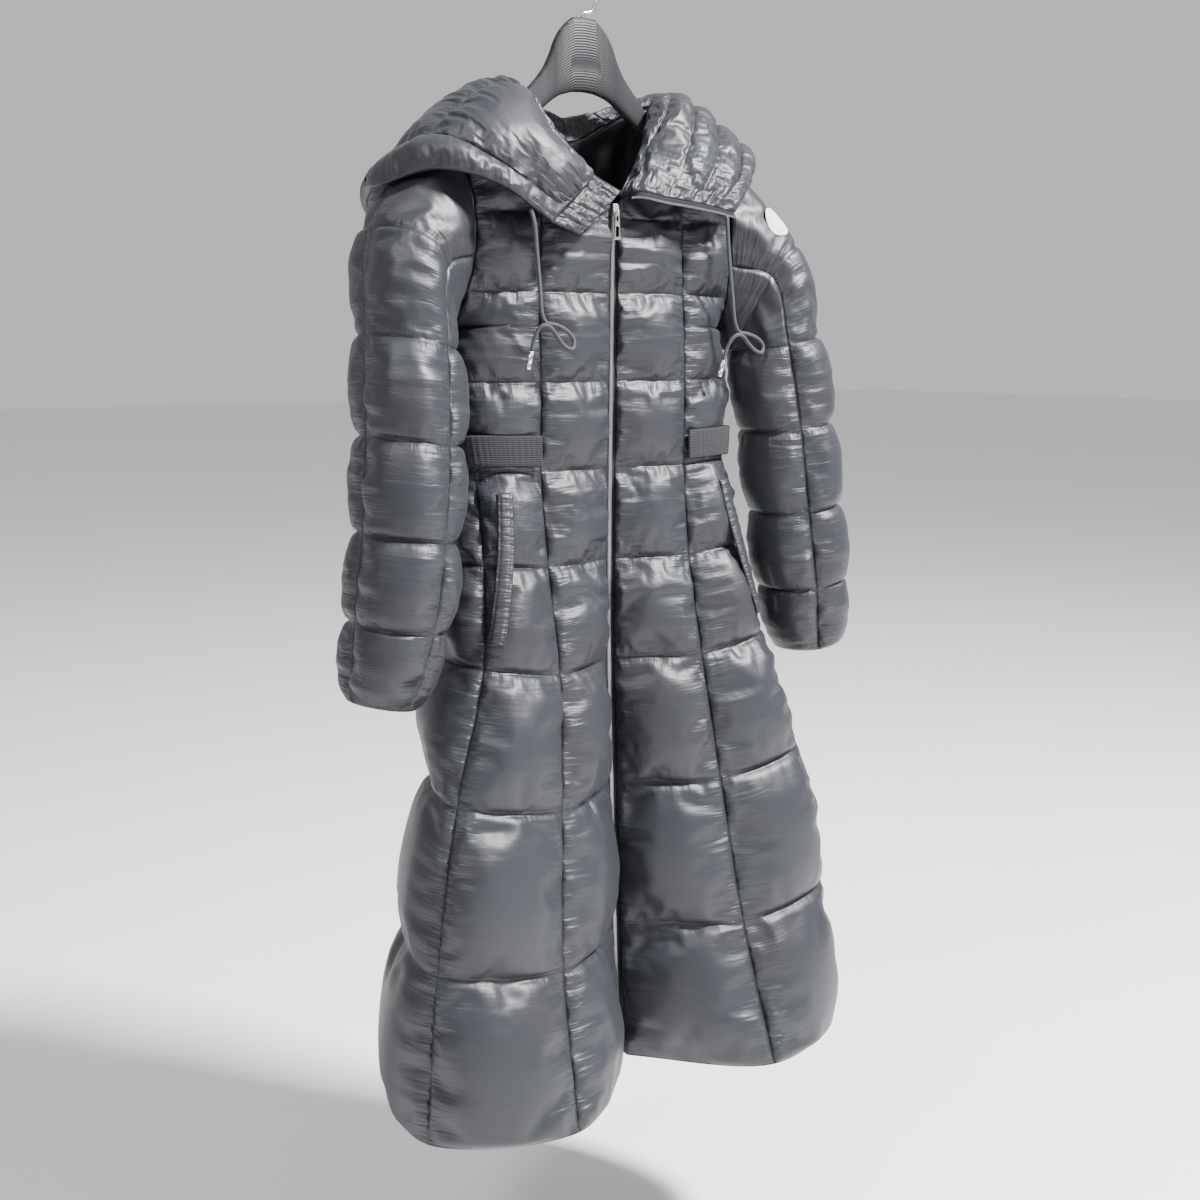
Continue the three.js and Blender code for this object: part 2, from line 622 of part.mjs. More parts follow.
// A flat solid standing in the coat's front plane: its outline in x and z, and its y range
function frontPlate(outline, holes, yFront, depth) {
  const rings = [outline, ...holes.map((hole) => [...hole].reverse())];
  return wasm.Manifold.extrude(rings, depth).rotate([90, 0, 0]).translate([0, yFront + depth, 0]);
}

const boxOutline = (x, top, bottom) => [[-x, bottom], [x, bottom], [x, top], [-x, top]];

// The pull tab turns on the middle of its top bar, inside the slider's arch
const SLIDER_FRONT = ZIP_TOP.y - ZIP.coil - 0.4 - SLIDER_THICKNESS;
const PULL_AXIS = { y: SLIDER_FRONT - ARCH.room, z: PULL.z + 3 - PULL.bar / 2 };

function zipSlider() {
  const { z } = PULL;
  const body = [[-4.6, z + 9], [-3, z - 3], [3, z - 3], [4.6, z + 9], [2.4, z + 12], [-2.4, z + 12]];
  const plateSolid = frontPlate(body, [], SLIDER_FRONT, SLIDER_THICKNESS);
  const ringOf = (half, back) => [
    [PULL_AXIS.y - half, PULL_AXIS.z - half], [SLIDER_FRONT + back, PULL_AXIS.z - half],
    [SLIDER_FRONT + back, PULL_AXIS.z + half], [PULL_AXIS.y - half, PULL_AXIS.z + half],
  ];
  const outer = ringOf(ARCH.room + ARCH.wall, 1);
  const inner = ringOf(ARCH.room, 0).reverse();
  const arch = wasm.Manifold.extrude([outer, inner], ARCH.width, 0, 0, [1, 1], true).rotate([90, 0, 90]);
  add('zip_slider', fromSolid(plateSolid.add(arch)), colours.metal, 0.9);
}

function zipPull() {
  const top = PULL.z + 3;
  const low = top - PULL.length;
  const w = PULL.width / 2;
  const outline = [[-w, low], [w, low], [w, low + 4], [w * 0.6, top], [-w * 0.6, top], [-w, low + 4]];
  const eye = boxOutline(w * 0.36, top - PULL.bar, top - 12);
  const window = boxOutline(w * 0.55, low + 16, low + 3);
  const front = PULL_AXIS.y - PULL.thickness / 2;
  add('zip_pull', fromSolid(frontPlate(outline, [eye, window], front, PULL.thickness)), colours.metal, 0.9);
}

function roundCord(places, radius, sides, steps) {
  const curve = new THREE.CatmullRomCurve3(places.map(row), false, 'centripetal');
  const shape = new THREE.Shape();
  for (let k = 0; k < sides; k += 1) {
    const a = (2 * Math.PI * k) / sides;
    const method = k === 0 ? 'moveTo' : 'lineTo';
    shape[method](radius * Math.cos(a), radius * Math.sin(a));
  }
  return new THREE.ExtrudeGeometry(shape, { steps, bevelEnabled: false, extrudePath: curve });
}

function drawcord(hand, places) {
  add(`drawcord_${hand}`, roundCord(places, CORD_RADIUS, CORD_SIDES, CORD_STEPS), colours.cord);
  const end = row(places[places.length - 1]);
  const before = row(places[places.length - 2]);
  const along = end.clone().sub(before).normalize();
  const tip = new THREE.CylinderGeometry(CORD_TIP.radius * 0.85, CORD_TIP.radius, CORD_TIP.length, 12);
  tip.applyQuaternion(new THREE.Quaternion().setFromUnitVectors(vec(0, 1, 0), along));
  const centre = end.addScaledVector(along, CORD_TIP.length / 2 + 0.4);
  tip.translate(centre.x, centre.y, centre.z);
  add(`cord_tip_${hand}`, tip, colours.metal, 0.8);
}

// A plain round badge that follows the puff on the front of the left sleeve's cap
function sleeveBadge() {
  const at = (u, w) => halfSleeve(u, w);
  const height = (u, w) => {
    const i = SLEEVE_SEAM.front;
    return SLEEVE[0][6] * CAP_SHARE.front * pillow((u - i) / -i, w);
  };
  const surface = (a, b) => {
    const x = a * Math.sqrt(1 - (b * b) / 2);
    const y = b * Math.sqrt(1 - (a * a) / 2);
    const angle = BADGE.angle + x * BADGE.turn;
    const w = BADGE.row + y * BADGE.drop;
    const across = at(angle + 4, w).sub(at(angle - 4, w));
    const n = across.cross(at(angle, w + 0.04).sub(at(angle, w - 0.04))).normalize();
    if (n.y > 0) n.negate();
    return [at(angle, w).addScaledVector(n, SEAM + height(angle, w) + BADGE.clear), n];
  };
  const { steps } = BADGE;
  const grid = (out) => {
    const lines = [];
    for (let r = 0; r <= steps; r += 1) {
      const line = [];
      for (let c = 0; c <= steps; c += 1) {
        const [p, n] = surface((2 * c) / steps - 1, (2 * r) / steps - 1);
        line.push(p.addScaledVector(n, out));
      }
      lines.push(line);
    }
    return lines;
  };
  add('sleeve_badge', plate(grid(BADGE.thickness), grid(0)), colours.badge);
}

// The hanger as sections across its width: x, top, bottom and half of its thickness
function hangerBody() {
  const sections = [];
  const flip = HANGER.slice(1).reverse().map(([x, ...rest]) => [-x, ...rest]);
  for (const [x, top, bottom, half] of [...flip, ...HANGER]) {
    const edge = Math.min(4, (top - bottom) / 4);
    sections.push([
      vec(x, -half * 0.6, top), vec(x, -half, top - edge), vec(x, -half, bottom + edge),
      vec(x, -half * 0.6, bottom), vec(x, half * 0.6, bottom), vec(x, half, bottom + edge),
      vec(x, half, top - edge), vec(x, half * 0.6, top),
    ]);
  }
  const points = sections.flat();
  const n = sections[0].length;
  const faces = [];
  for (let s = 0; s < sections.length - 1; s += 1) {
    for (let k = 0; k < n; k += 1) {
      const a = s * n + k;
      const b = s * n + ((k + 1) % n);
      faces.push([a, b, b + n], [a, b + n, a + n]);
    }
  }
  for (let k = 1; k < n - 1; k += 1) {
    faces.push([0, k + 1, k]);
    const start = points.length - n;
    faces.push([start, start + k, start + k + 1]);
  }
  const solid = toSolid(toGeometry(points, faces));
  const { width, height, depth, z } = PLATE_RECESS;
  const cut = wasm.Manifold.cube([width, depth * 2, height], true).translate([0, -HANGER[0][3], z]);
  add('hanger', fromSolid(solid.subtract(cut)), colours.plastic);
}

function toSolid(geometry) {
  const { array } = geometry.getAttribute('position');
  const mesh = new wasm.Mesh({
    numProp: 3,
    vertProperties: new Float32Array(array),
    triVerts: new Uint32Array(geometry.getIndex().array),
  });
  return new wasm.Manifold(mesh);
}

function fromSolid(solid) {
  const mesh = solid.getMesh();
  const geometry = new THREE.BufferGeometry();
  geometry.setAttribute('position', new THREE.Float32BufferAttribute(mesh.vertProperties, 3));
  geometry.setIndex([...mesh.triVerts]);
  return geometry;
}

// The hook's rod starts just above the hanger's top and its inside touches the origin
function hook() {
  const r = HOOK.inside + HOOK.rod;
  const middle = -HOOK.inside;
  const places = [[0, 0, HOOK.foot], [0, 0, HOOK.foot + 4], [r * 0.55, 0, middle - r * 0.95]];
  for (let a = -30; a <= 200; a += 23) {
    const t = THREE.MathUtils.degToRad(a);
    places.push([r * Math.cos(t), 0, middle + r * Math.sin(t)]);
  }
  add('hanger_hook', roundCord(places, HOOK.rod, HOOK.sides, HOOK.steps), colours.steel, 0.9);
}

bodyPanels(-1, 'right');
bodyPanels(1, 'left');
sleevePanels(-1, 'right');
sleevePanels(1, 'left');
hoodPieces();
throatTab();
waistband();
pocketWelt(-1, 'right');
pocketWelt(1, 'left');
zipTape(-1, 'right');
zipTape(1, 'left');
hoodZip();
zipSlider();
zipPull();
drawcord('right', CORD_RIGHT);
drawcord('left', CORD_LEFT);
sleeveBadge();
hangerBody();
hook();

export default group;
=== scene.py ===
# Looks for the long quilted puffer coat and the hanger that it hangs on
import bmesh
import bpy
import math
import numpy as np
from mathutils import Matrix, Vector


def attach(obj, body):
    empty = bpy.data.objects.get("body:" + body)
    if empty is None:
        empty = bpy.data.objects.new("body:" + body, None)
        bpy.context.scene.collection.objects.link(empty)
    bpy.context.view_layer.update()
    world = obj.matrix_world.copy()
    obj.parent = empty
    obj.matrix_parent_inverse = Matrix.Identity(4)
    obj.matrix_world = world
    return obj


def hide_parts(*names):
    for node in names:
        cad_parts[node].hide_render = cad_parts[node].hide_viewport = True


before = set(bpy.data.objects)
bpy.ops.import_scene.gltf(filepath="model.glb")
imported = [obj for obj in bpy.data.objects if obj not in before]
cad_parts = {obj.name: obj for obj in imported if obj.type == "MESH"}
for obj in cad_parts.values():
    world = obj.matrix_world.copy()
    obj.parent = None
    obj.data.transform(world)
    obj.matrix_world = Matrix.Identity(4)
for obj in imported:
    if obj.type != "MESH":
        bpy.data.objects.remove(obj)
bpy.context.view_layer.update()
MM = 0.001

# The coat's own sizes in millimetres, the same as in the solids
SEAM = 1.5
PUFF_SHARPNESS = 0.6
CELL_SHARE = 0.3
ZIP_HALF = 8
UNDERARM = 2.4
ARMHOLE_X, ARMHOLE_REACH, ARMHOLE_MIDDLE, ARMHOLE_HALF = 189, 16, -316.5, 113.5
ARMHOLE_FRONT, ARMHOLE_BACK = 60, 54
# z, zip y, princess x, y, side x, y, lift, wide x, y, back x, y, spine y, puff
LEVEL = np.array([
    [-296, -66, 105, -66, 189, -55, 0, 160, 62, 100, 60, 54, 13],
    [-387, -64, 108, -66, 189, -50, 0, 162, 68, 104, 74, 70, 15],
    [-495, -62, 109, -70, 203, -36, 0, 196, 12, 104, 80, 76, 15],
    [-604, -60, 110, -70, 190, -48, 2, 188, 0, 100, 68, 62, 14],
    [-721, -58, 109, -84, 196, -80, 8, 206, -6, 108, 80, 72, 16],
    [-851, -58, 111, -112, 213, -106, 18, 214, 8, 122, 98, 82, 18],
    [-1017, -64, 125, -138, 264, -128, 25, 228, 0, 136, 116, 92, 20],
    [-1210, -72, 143, -168, 302, -142, 22, 266, 5, 150, 132, 100, 21],
    [-1396, -84, 156, -222, 320, -144, 0, 288, 12, 164, 150, 108, 21],
], float)
YOKE_PUFF = 10
NECK_POINT = np.array([106, 0.6, -153.0])
SHOULDER_TIP = np.array([205, 0.6, -203.0])
ZIP_TOP = np.array([0, -69, -280.0])
BACK_NECK = np.array([0, 36, -200.0])
NECK_BOW, BACK_BOW, NECK_DROP = 16, 12, 24
BAND_Z, BAND_HEIGHT, BAND_SQUEEZE, BAND_SPREAD, BAND_STAND, BAND_THICK = -579, 38, 0.85, 34, 8.5, 2
# x, y, z, across, deep, tip in degrees, puff
SLEEVE = np.array([
    [260, -22, -330, 46, 70, 16, 8],
    [276, -46, -448, 52, 66, 11, 13],
    [286, -66, -560, 53, 64, 8, 13],
    [298, -74, -671, 52, 62, 8, 13],
    [314, -76, -775, 50, 60, 9, 13],
    [332, -70, -866, 38, 47, 10, 12],
], float)
SLEEVE_FRONT, SLEEVE_OUTER, SLEEVE_BACK = -114, 0, 123
CAP_DROP, MOUTH_GAP = 112, 3.6
CAP_SHARE = {"front": 0.5, "back": 0.5, "under": 0.1}
# place on the neck seam, then fold, near, middle, far and edge of the opened hood
HOOD = [
    (-0.32, (-40, -84, -250), (-62, -104, -262), (-80, -108, -277), (-97, -108, -292), (-114, -106, -309)),
    (-0.62, (-76, -50, -202), (-115, -82, -212), (-151, -88, -227), (-178, -93, -243), (-186, -106, -269)),
    (-0.86, (-96, -28, -154), (-134, -22, -150), (-180, -32, -176), (-226, -52, -214), (-246, -74, -254)),
    (-1.04, (-106, 8, -134), (-142, 34, -150), (-188, 36, -182), (-246, 26, -228), (-284, 8, -268)),
    (-1.45, (-90, 36, -142), (-128, 72, -172), (-186, 92, -230), (-256, 92, -272), (-272, 62, -256)),
    (-2.4, (-44, 52, -156), (-90, 116, -212), (-150, 140, -340), (-205, 158, -306), (-196, 136, -216)),
    (-4.0, (0, 54, -164), (0, 114, -215), (0, 136, -425), (0, 198, -330), (0, 170, -198)),
    (2.4, (44, 52, -156), (90, 116, -212), (150, 140, -340), (205, 158, -306), (196, 136, -216)),
    (1.45, (104, 40, -138), (140, 72, -166), (190, 88, -222), (250, 82, -250), (266, 60, -236)),
    (1.04, (140, 12, -130), (180, 24, -142), (222, 26, -164), (256, 22, -186), (272, 6, -208)),
    (0.86, (107, -34, -154), (148, -36, -158), (188, -32, -178), (226, -34, -198), (248, -34, -220)),
    (0.55, (62, -56, -211), (99, -84, -216), (139, -90, -228), (176, -91, -242), (196, -87, -254)),
    (0.1, (18, -94, -266), (56, -106, -272), (96, -108, -276), (134, -106, -280), (166, -100, -284)),
]
HOOD_PUFF, BRIM_PUFF = 8, 13
CORD_DIAMETER = 5
CORD_RIGHT = [
    (-141.2, -104, -294.9), (-138, -106, -310), (-132, -102, -345), (-127, -100, -385), (-124, -100, -416),
    (-119, -101, -425), (-104, -101, -428), (-88, -101, -436), (-80, -101, -447), (-84, -103, -456),
    (-96, -104, -452), (-108, -106, -440), (-118, -109, -431), (-128, -110, -428), (-134, -106, -434),
    (-137, -102, -446), (-139, -100, -458),
]
CORD_LEFT = [
    (150, -104, -290.4), (152, -103, -304), (158, -100, -340), (166, -98, -390), (172, -97, -424),
    (178, -97, -434), (194, -96, -437), (212, -95, -443), (222, -94, -452), (218, -96, -461),
    (205, -98, -458), (190, -101, -448), (180, -105, -441), (169, -107, -438), (161, -104, -444),
    (156, -100, -456), (153, -98, -470),
]
ZIP_END, TOOTH_PITCH = 8.97, 2.5
PULL_Z, PULL_AXIS, SLIDER_FRONT = -292, (-76.2, -290.3), -74.2
BAND_START, BAND_ROW = 1.02, 3
SIDES = ((-1, "right"), (1, "left"))
BADGE_ANGLE, BADGE_TURN, BADGE_ROW, BADGE_DROP = -58, 20, 0.64, 0.17
# x, top, bottom and half of the hanger's thickness
HANGER = [
    (0, -50, -139, 8), (16, -51, -140, 8), (24, -57, -142, 8), (34, -67, -145, 8), (42, -80, -149, 8),
    (48, -96, -153, 8), (57, -113, -160, 8), (68, -127, -169, 8), (84, -143, -180, 7), (104, -168, -194, 6),
    (128, -177, -206, 9), (165, -196, -222, 11), (186, -209, -230, 11),
]
PLATE_WIDTH, PLATE_HEIGHT, PLATE_DEPTH, PLATE_Z = 44, 18, 1.2, -109
HOOK_INSIDE, HOOK_ROD, HOOK_FOOT = 20, 2.5, -49.5


# Smooth curves and surfaces
def through(places, t):
    """Points on the smooth curves through places, an array of stops x points x 3, at t stops."""
    places = np.asarray(places, float)
    t = np.atleast_1d(np.asarray(t, float))
    if places.ndim == 2:
        places = np.repeat(places[:, None, :], len(t), axis=1)
    last = len(places) - 1
    start = np.clip(np.floor(t).astype(int), 0, last - 1)
    w = (t - start)[:, None]
    point = np.arange(len(t))
    p1 = places[start, point]
    p2 = places[start + 1, point]
    before = np.maximum(start - 1, 0)
    after = np.minimum(start + 2, last)
    p0 = np.where((start > 0)[:, None], places[before, point], 2 * p1 - p2)
    p3 = np.where((start + 2 <= last)[:, None], places[after, point], 2 * p2 - p1)

    def spacing(a, b):
        return (((a - b) ** 2).sum(1) ** 0.25)[:, None]

    d0, d1, d2 = spacing(p0, p1), spacing(p1, p2), spacing(p2, p3)
    d1 = np.where(d1 < 1e-4, 1.0, d1)
    d0 = np.where(d0 < 1e-4, d1, d0)
    d2 = np.where(d2 < 1e-4, d1, d2)
    m1 = ((p1 - p0) / d0 - (p2 - p0) / (d0 + d1) + (p2 - p1) / d1) * d1
    m2 = ((p2 - p1) / d1 - (p3 - p1) / (d1 + d2) + (p3 - p2) / d2) * d1
    return p1 + w * m1 + w ** 2 * (3 * (p2 - p1) - 2 * m1 - m2) + w ** 3 * (2 * (p1 - p2) + m1 + m2)


def armhole_at(z, turn):
    c = np.clip((z - ARMHOLE_MIDDLE) / ARMHOLE_HALF, -1, 1)
    depth = ARMHOLE_FRONT if turn < 0 else ARMHOLE_BACK
    return np.stack([ARMHOLE_X + ARMHOLE_REACH * c * c, turn * depth * np.sqrt(1 - c * c), z], 1)


def level_curve(x, y, lift, v, first=0):
    """The curve down the body through a pair of LEVEL columns, for v rows below the shoulder."""
    column = LEVEL[first:]
    stops = np.stack([
        column[:, x] if x is not None else np.zeros(len(column)),
        column[:, y] if y is not None else np.zeros(len(column)),
        column[:, 0] + (column[:, 6] if lift else 0),
    ], 1)
    return through(stops, np.clip(v - 1 - first, 0, len(column) - 1))


def ring_at(v):
    """The seam places of the left half of the body at v rows below the shoulder."""
    low = np.maximum(v, 1)
    z = level_curve(None, None, False, low)[:, 2]
    side_stops = np.concatenate([
        armhole_at(np.array([ARMHOLE_MIDDLE - ARMHOLE_HALF]), -1),
        np.stack([LEVEL[2:, 4], LEVEL[2:, 5], LEVEL[2:, 0] + LEVEL[2:, 6]], 1),
    ])
    t = np.where(low < 3, (low - UNDERARM) / (3 - UNDERARM), low - 2)
    side = through(side_stops, np.clip(t, 0, len(side_stops) - 1))
    closed = (low > UNDERARM)[:, None]
    ring = {
        "zip": level_curve(None, 1, False, low),
        "princess": level_curve(2, 3, False, low),
        "side": np.where(closed, side, armhole_at(z, -1)),
        "side_back": np.where(closed, side, armhole_at(z, 1)),
        "wide": level_curve(7, 8, True, low),
        "back": level_curve(9, 10, False, low),
        "spine": level_curve(None, 11, False, low),
    }
    above = v < 1
    rise = np.sin((1 - np.minimum(v, 1)) * np.pi / 2)
    roll = 1 - np.cos((1 - np.minimum(v, 1)) * np.pi / 2)
    weight = np.stack([roll, roll, rise], 1)
    front = np.array([1, -1, 1])
    along = SHOULDER_TIP + (NECK_POINT - SHOULDER_TIP) * 0.45
    tops = {
        "zip": ZIP_TOP, "princess": NECK_POINT * front, "wide": along,
        "back": NECK_POINT, "spine": BACK_NECK,
    }
    for name, top in tops.items():
        climbed = ring[name] + (top - ring[name]) * weight
        ring[name] = np.where(above[:, None], climbed, ring[name])
    tip_z = ring["side"][:, 2] + (SHOULDER_TIP[2] - ring["side"][:, 2]) * rise
    at_tip = (v <= 0)[:, None]
    side = np.where(at_tip, SHOULDER_TIP * front, armhole_at(tip_z, -1))
    side_back = np.where(at_tip, SHOULDER_TIP, armhole_at(tip_z, 1))
    ring["side"] = np.where(above[:, None], side, ring["side"])
    ring["side_back"] = np.where(above[:, None], side_back, ring["side_back"])
    return ring


def half_body(s, v):
    """The left half: s runs 0 zip, 1 princess, 2 side, 3 back princess, 4 centre back."""
    ring = ring_at(v)
    across = ring["back"] * np.array([-1, 1, 1])
    place = np.where(s <= 2, s, np.where(s <= 3, 2 + (s - 2) * 2, s + 1))
    front = [ring["zip"], ring["princess"], ring["side"]]
    rear = [ring["wide"], ring["back"], ring["spine"], across]
    is_open = v < UNDERARM + 1e-6
    in_front = is_open & (s <= 2)
    in_back = is_open & (s > 2)
    whole = through(np.stack(front + rear), place)
    front_part = through(np.stack(front), np.clip(s, 0, 2))
    back_part = through(np.stack([ring["side_back"]] + rear), np.clip(place - 2, 0, 4))
    point = np.where(in_front[:, None], front_part, np.where(in_back[:, None], back_part, whole))
    top = v < 1
    near = top & (s < 1)
    bow = NECK_BOW * np.sin(np.pi * s) * (1 - v)
    point[:, 1] -= np.where(near, bow, 0)
    point[:, 2] -= np.where(near, bow * 1.6 + NECK_DROP * np.sin(np.pi * s) * np.sin(np.pi * v), 0)
    point[:, 1] = np.where(top & (s >= 1) & (s <= 2), np.minimum(point[:, 1], -SHOULDER_TIP[1]), point[:, 1])
    point[:, 1] = np.where(top & (s > 2) & (s <= 3), np.maximum(point[:, 1], SHOULDER_TIP[1]), point[:, 1])
    rear_bow = BACK_BOW * np.sin(np.pi * (s - 3)) * (1 - v)
    point[:, 1] += np.where(top & (s > 3), rear_bow, 0)
    return point


def unit(a):
    return a / np.maximum(np.linalg.norm(a, axis=-1, keepdims=True), 1e-9)


def normal_of(at, limits, outward, step=0.04):
    def normal(u, v):
        ua, ub = np.clip(u - step, limits[0], limits[1]), np.clip(u + step, limits[0], limits[1])
        va, vb = np.clip(v - step, limits[2], limits[3]), np.clip(v + step, limits[2], limits[3])
        n = unit(np.cross(at(ub, v) - at(ua, v), at(u, vb) - at(u, va)))
        facing = (n * outward(u, v)).sum(1) < 0
        return np.where(facing[:, None], -n, n)
    return normal


class Body:
    """The body's surface on one side, and its normals."""

    def __init__(self, side):
        self.side = side
        self.whole = normal_of(self.base, (0, 4, 0, 9), self.outward)
        self.front = normal_of(self.base, (0, 2 - 1e-6, 0, 9), self.outward)
        self.back = normal_of(self.base, (2 + 1e-6, 4, 0, 9), self.outward)

    def base(self, u, v):
        return half_body(u, v) * np.array([self.side, 1, 1])

    def outward(self, u, v):
        p = half_body(u, v)
        up = np.where(v < 1, 120 * (1 - v), 0)
        return np.stack([p[:, 0] * self.side, p[:, 1] + 20, up], 1)

    def at(self, u, v, in_back=False):
        u = np.maximum(u, 2 + 1e-6) if in_back else np.minimum(u, 2 - 1e-6)
        p = self.base(u, v)
        off = self.side * np.maximum(np.abs(p[:, 0]), ZIP_HALF)
        p[:, 0] = np.where(u < 0.3, off, p[:, 0])
        return p

    def normal(self, u, v, in_back=False):
        u = np.maximum(u, 2 + 1e-6) if in_back else np.minimum(u, 2 - 1e-6)
        split = (v < UNDERARM + 1e-6)[:, None]
        n = np.where(split, (self.back if in_back else self.front)(u, v), self.whole(u, v))
        if not in_back:
            w = np.clip(u / 0.3, 0, 1)[:, None]
            n = unit(np.array([0, -1, 0]) * (1 - w) + n * w)
        high = ((v < 0.3) & (u >= 1 - 1e-5) & (u <= 3 + 1e-5))[:, None]
        w = np.clip(v / 0.3, 0, 1)[:, None]
        n = np.where(high, unit(np.array([0, 0, 1]) * (1 - w) + n * w), n)
        middle = (u > 4 - 1e-5)[:, None]
        return np.where(middle, unit(n * np.array([0, 1, 1])), n)


BODY = {1: Body(1), -1: Body(-1)}


def band_squeeze(v):
    z = ring_at(np.clip(v, 1, 9))["princess"][:, 2]
    return 1 - BAND_SQUEEZE * np.exp(-(((z - BAND_Z) / BAND_SPREAD) ** 2))


def half_sleeve(angle, w):
    """The left sleeve: angle in degrees round it, 0 outer and -90 front; w rows from the armhole."""
    a = np.radians(angle)
    c = np.cos(a)
    z = ARMHOLE_MIDDLE + ARMHOLE_HALF * np.cos(a * 0.93)
    mouth = np.where((np.sin(a) < 0)[:, None], armhole_at(z, -1), armhole_at(z, 1))
    mouth[:, 0] += MOUTH_GAP
    mouth[:, 2] = np.where(np.abs(angle) > 179.9, ARMHOLE_MIDDLE - ARMHOLE_HALF, mouth[:, 2])
    rings = [mouth]
    for k, (x, y, z, across, deep, tip, _) in enumerate(SLEEVE):
        t = math.radians(tip)
        p = np.stack([x + across * c * math.cos(t), y + deep * np.sin(a), z + across * c * math.sin(t)], 1)
        if k == 0:
            p[:, 2] = np.minimum(p[:, 2] - CAP_DROP * ((1 - c) / 2) ** 4, mouth[:, 2] - 9)
        rings.append(p)
    return through(np.stack(rings), np.clip(w, 0, len(SLEEVE)))


def neck_seat(seat):
    side = -1 if seat < 0 else 1
    s = abs(seat) if abs(seat) <= 1 else 3 + (abs(seat) - 1) / 3
    p = half_body(np.array([float(s)]), np.array([0.0]))[0]
    return np.array([p[0] * side, p[1], p[2] + 5])


HOOD_LINES = np.array([[neck_seat(seat), *places] for seat, *places in HOOD], float)


def hood_at(t, q):
    across = np.stack([through(np.repeat(line[:, None, :], len(q), axis=1), q) for line in HOOD_LINES])
    return through(across, t)


def hood_up(t, q, step=0.05):
    ta, tb = np.clip(t - step, 0, 12), np.clip(t + step, 0, 12)
    qa, qb = np.clip(q - step, 0, 5), np.clip(q + step, 0, 5)
    along = hood_at(tb, q) - hood_at(ta, q)
    over = hood_at(t, qb) - hood_at(t, qa)
    return unit(np.cross(along, over))


# Quilted cloth
def bed(at, normal, us, vs, side_seams, row_seams, height):
    """A panel's grid on its surface: base points, normals and how far each is from the seams."""
    u, v = np.meshgrid(us, vs)
    shape = u.shape
    flat_u, flat_v = u.ravel(), v.ravel()
    base = at(flat_u, flat_v)
    n = normal(flat_u, flat_v)

    def cell(x, seams):
        k = np.clip(np.searchsorted(seams, x + 1e-9, side="right") - 1, 0, len(seams) - 2)
        low, high = seams[k], seams[k + 1]
        return k, low, high, np.clip((x - low) / (high - low), 0, 1)

    side_seams, row_seams = np.asarray(side_seams, float), np.asarray(row_seams, float)
    i, u0, u1, fu = cell(flat_u, side_seams)
    j, v0, v1, fv = cell(flat_v, row_seams)
    wide = np.linalg.norm(at(u0, flat_v) - at(u1, flat_v), axis=1)
    tall = np.linalg.norm(at(flat_u, v0) - at(flat_u, v1), axis=1)
    top = np.minimum(height(i, j, flat_u, flat_v), np.minimum(wide, tall) * CELL_SHARE)
    pillow = (16 * fu * (1 - fu) * fv * (1 - fv)) ** PUFF_SHARPNESS
    return {
        "u": u,
        "v": v,
        "base": base.reshape(*shape, 3),
        "normal": n.reshape(*shape, 3),
        "rise": (top * pillow).reshape(shape),
        "to_side": (np.minimum(fu, 1 - fu) * wide).reshape(shape),
        "to_row": (np.minimum(fv, 1 - fv) * tall).reshape(shape),
        "u_sharp": [k for k, x in enumerate(us) if np.min(np.abs(side_seams - x)) < 1e-6],
        "v_sharp": [k for k, x in enumerate(vs) if np.min(np.abs(row_seams - x)) < 1e-6],
    }


# Meshes from grids
def refine(grid, u_sharp, v_sharp):
    """Doubles a grid of points smoothly, and keeps the creases at its seams."""
    def double(points, sharp):
        even = points.copy()
        even[1:-1] = points[1:-1] * 0.75 + (points[:-2] + points[2:]) * 0.125
        even[sharp] = points[sharp]
        out = np.empty((2 * len(points) - 1, *points.shape[1:]))
        out[::2] = even
        out[1::2] = (points[1:] + points[:-1]) / 2
        return out
    tall = double(grid, v_sharp)
    return double(tall.swapaxes(0, 1), u_sharp).swapaxes(0, 1)


def double_flat(values):
    tall = np.empty((2 * len(values) - 1, values.shape[1]))
    tall[::2] = values
    tall[1::2] = (values[1:] + values[:-1]) / 2
    out = np.empty((tall.shape[0], 2 * values.shape[1] - 1))
    out[:, ::2] = tall
    out[:, 1::2] = (tall[:, 1:] + tall[:, :-1]) / 2
    return out


def stitch(faces, a, b, turned):
    """Joins two border lines that start and end together."""
    i = j = 0
    while i < len(a) - 1 or j < len(b) - 1:
        next_a = (i + 1) / (len(a) - 1)
        next_b = (j + 1) / (len(b) - 1)
        if j == len(b) - 1 or (i < len(a) - 1 and next_a <= next_b + 1e-9):
            face = (a[i], a[i + 1], b[j])
            i += 1
        else:
            face = (a[i], b[j + 1], b[j])
            j += 1
        faces.append(face[::-1] if turned else face)


def grid_quads(index):
    return np.stack([index[:-1, :-1], index[1:, :-1], index[1:, 1:], index[:-1, 1:]], -1).reshape(-1, 4)


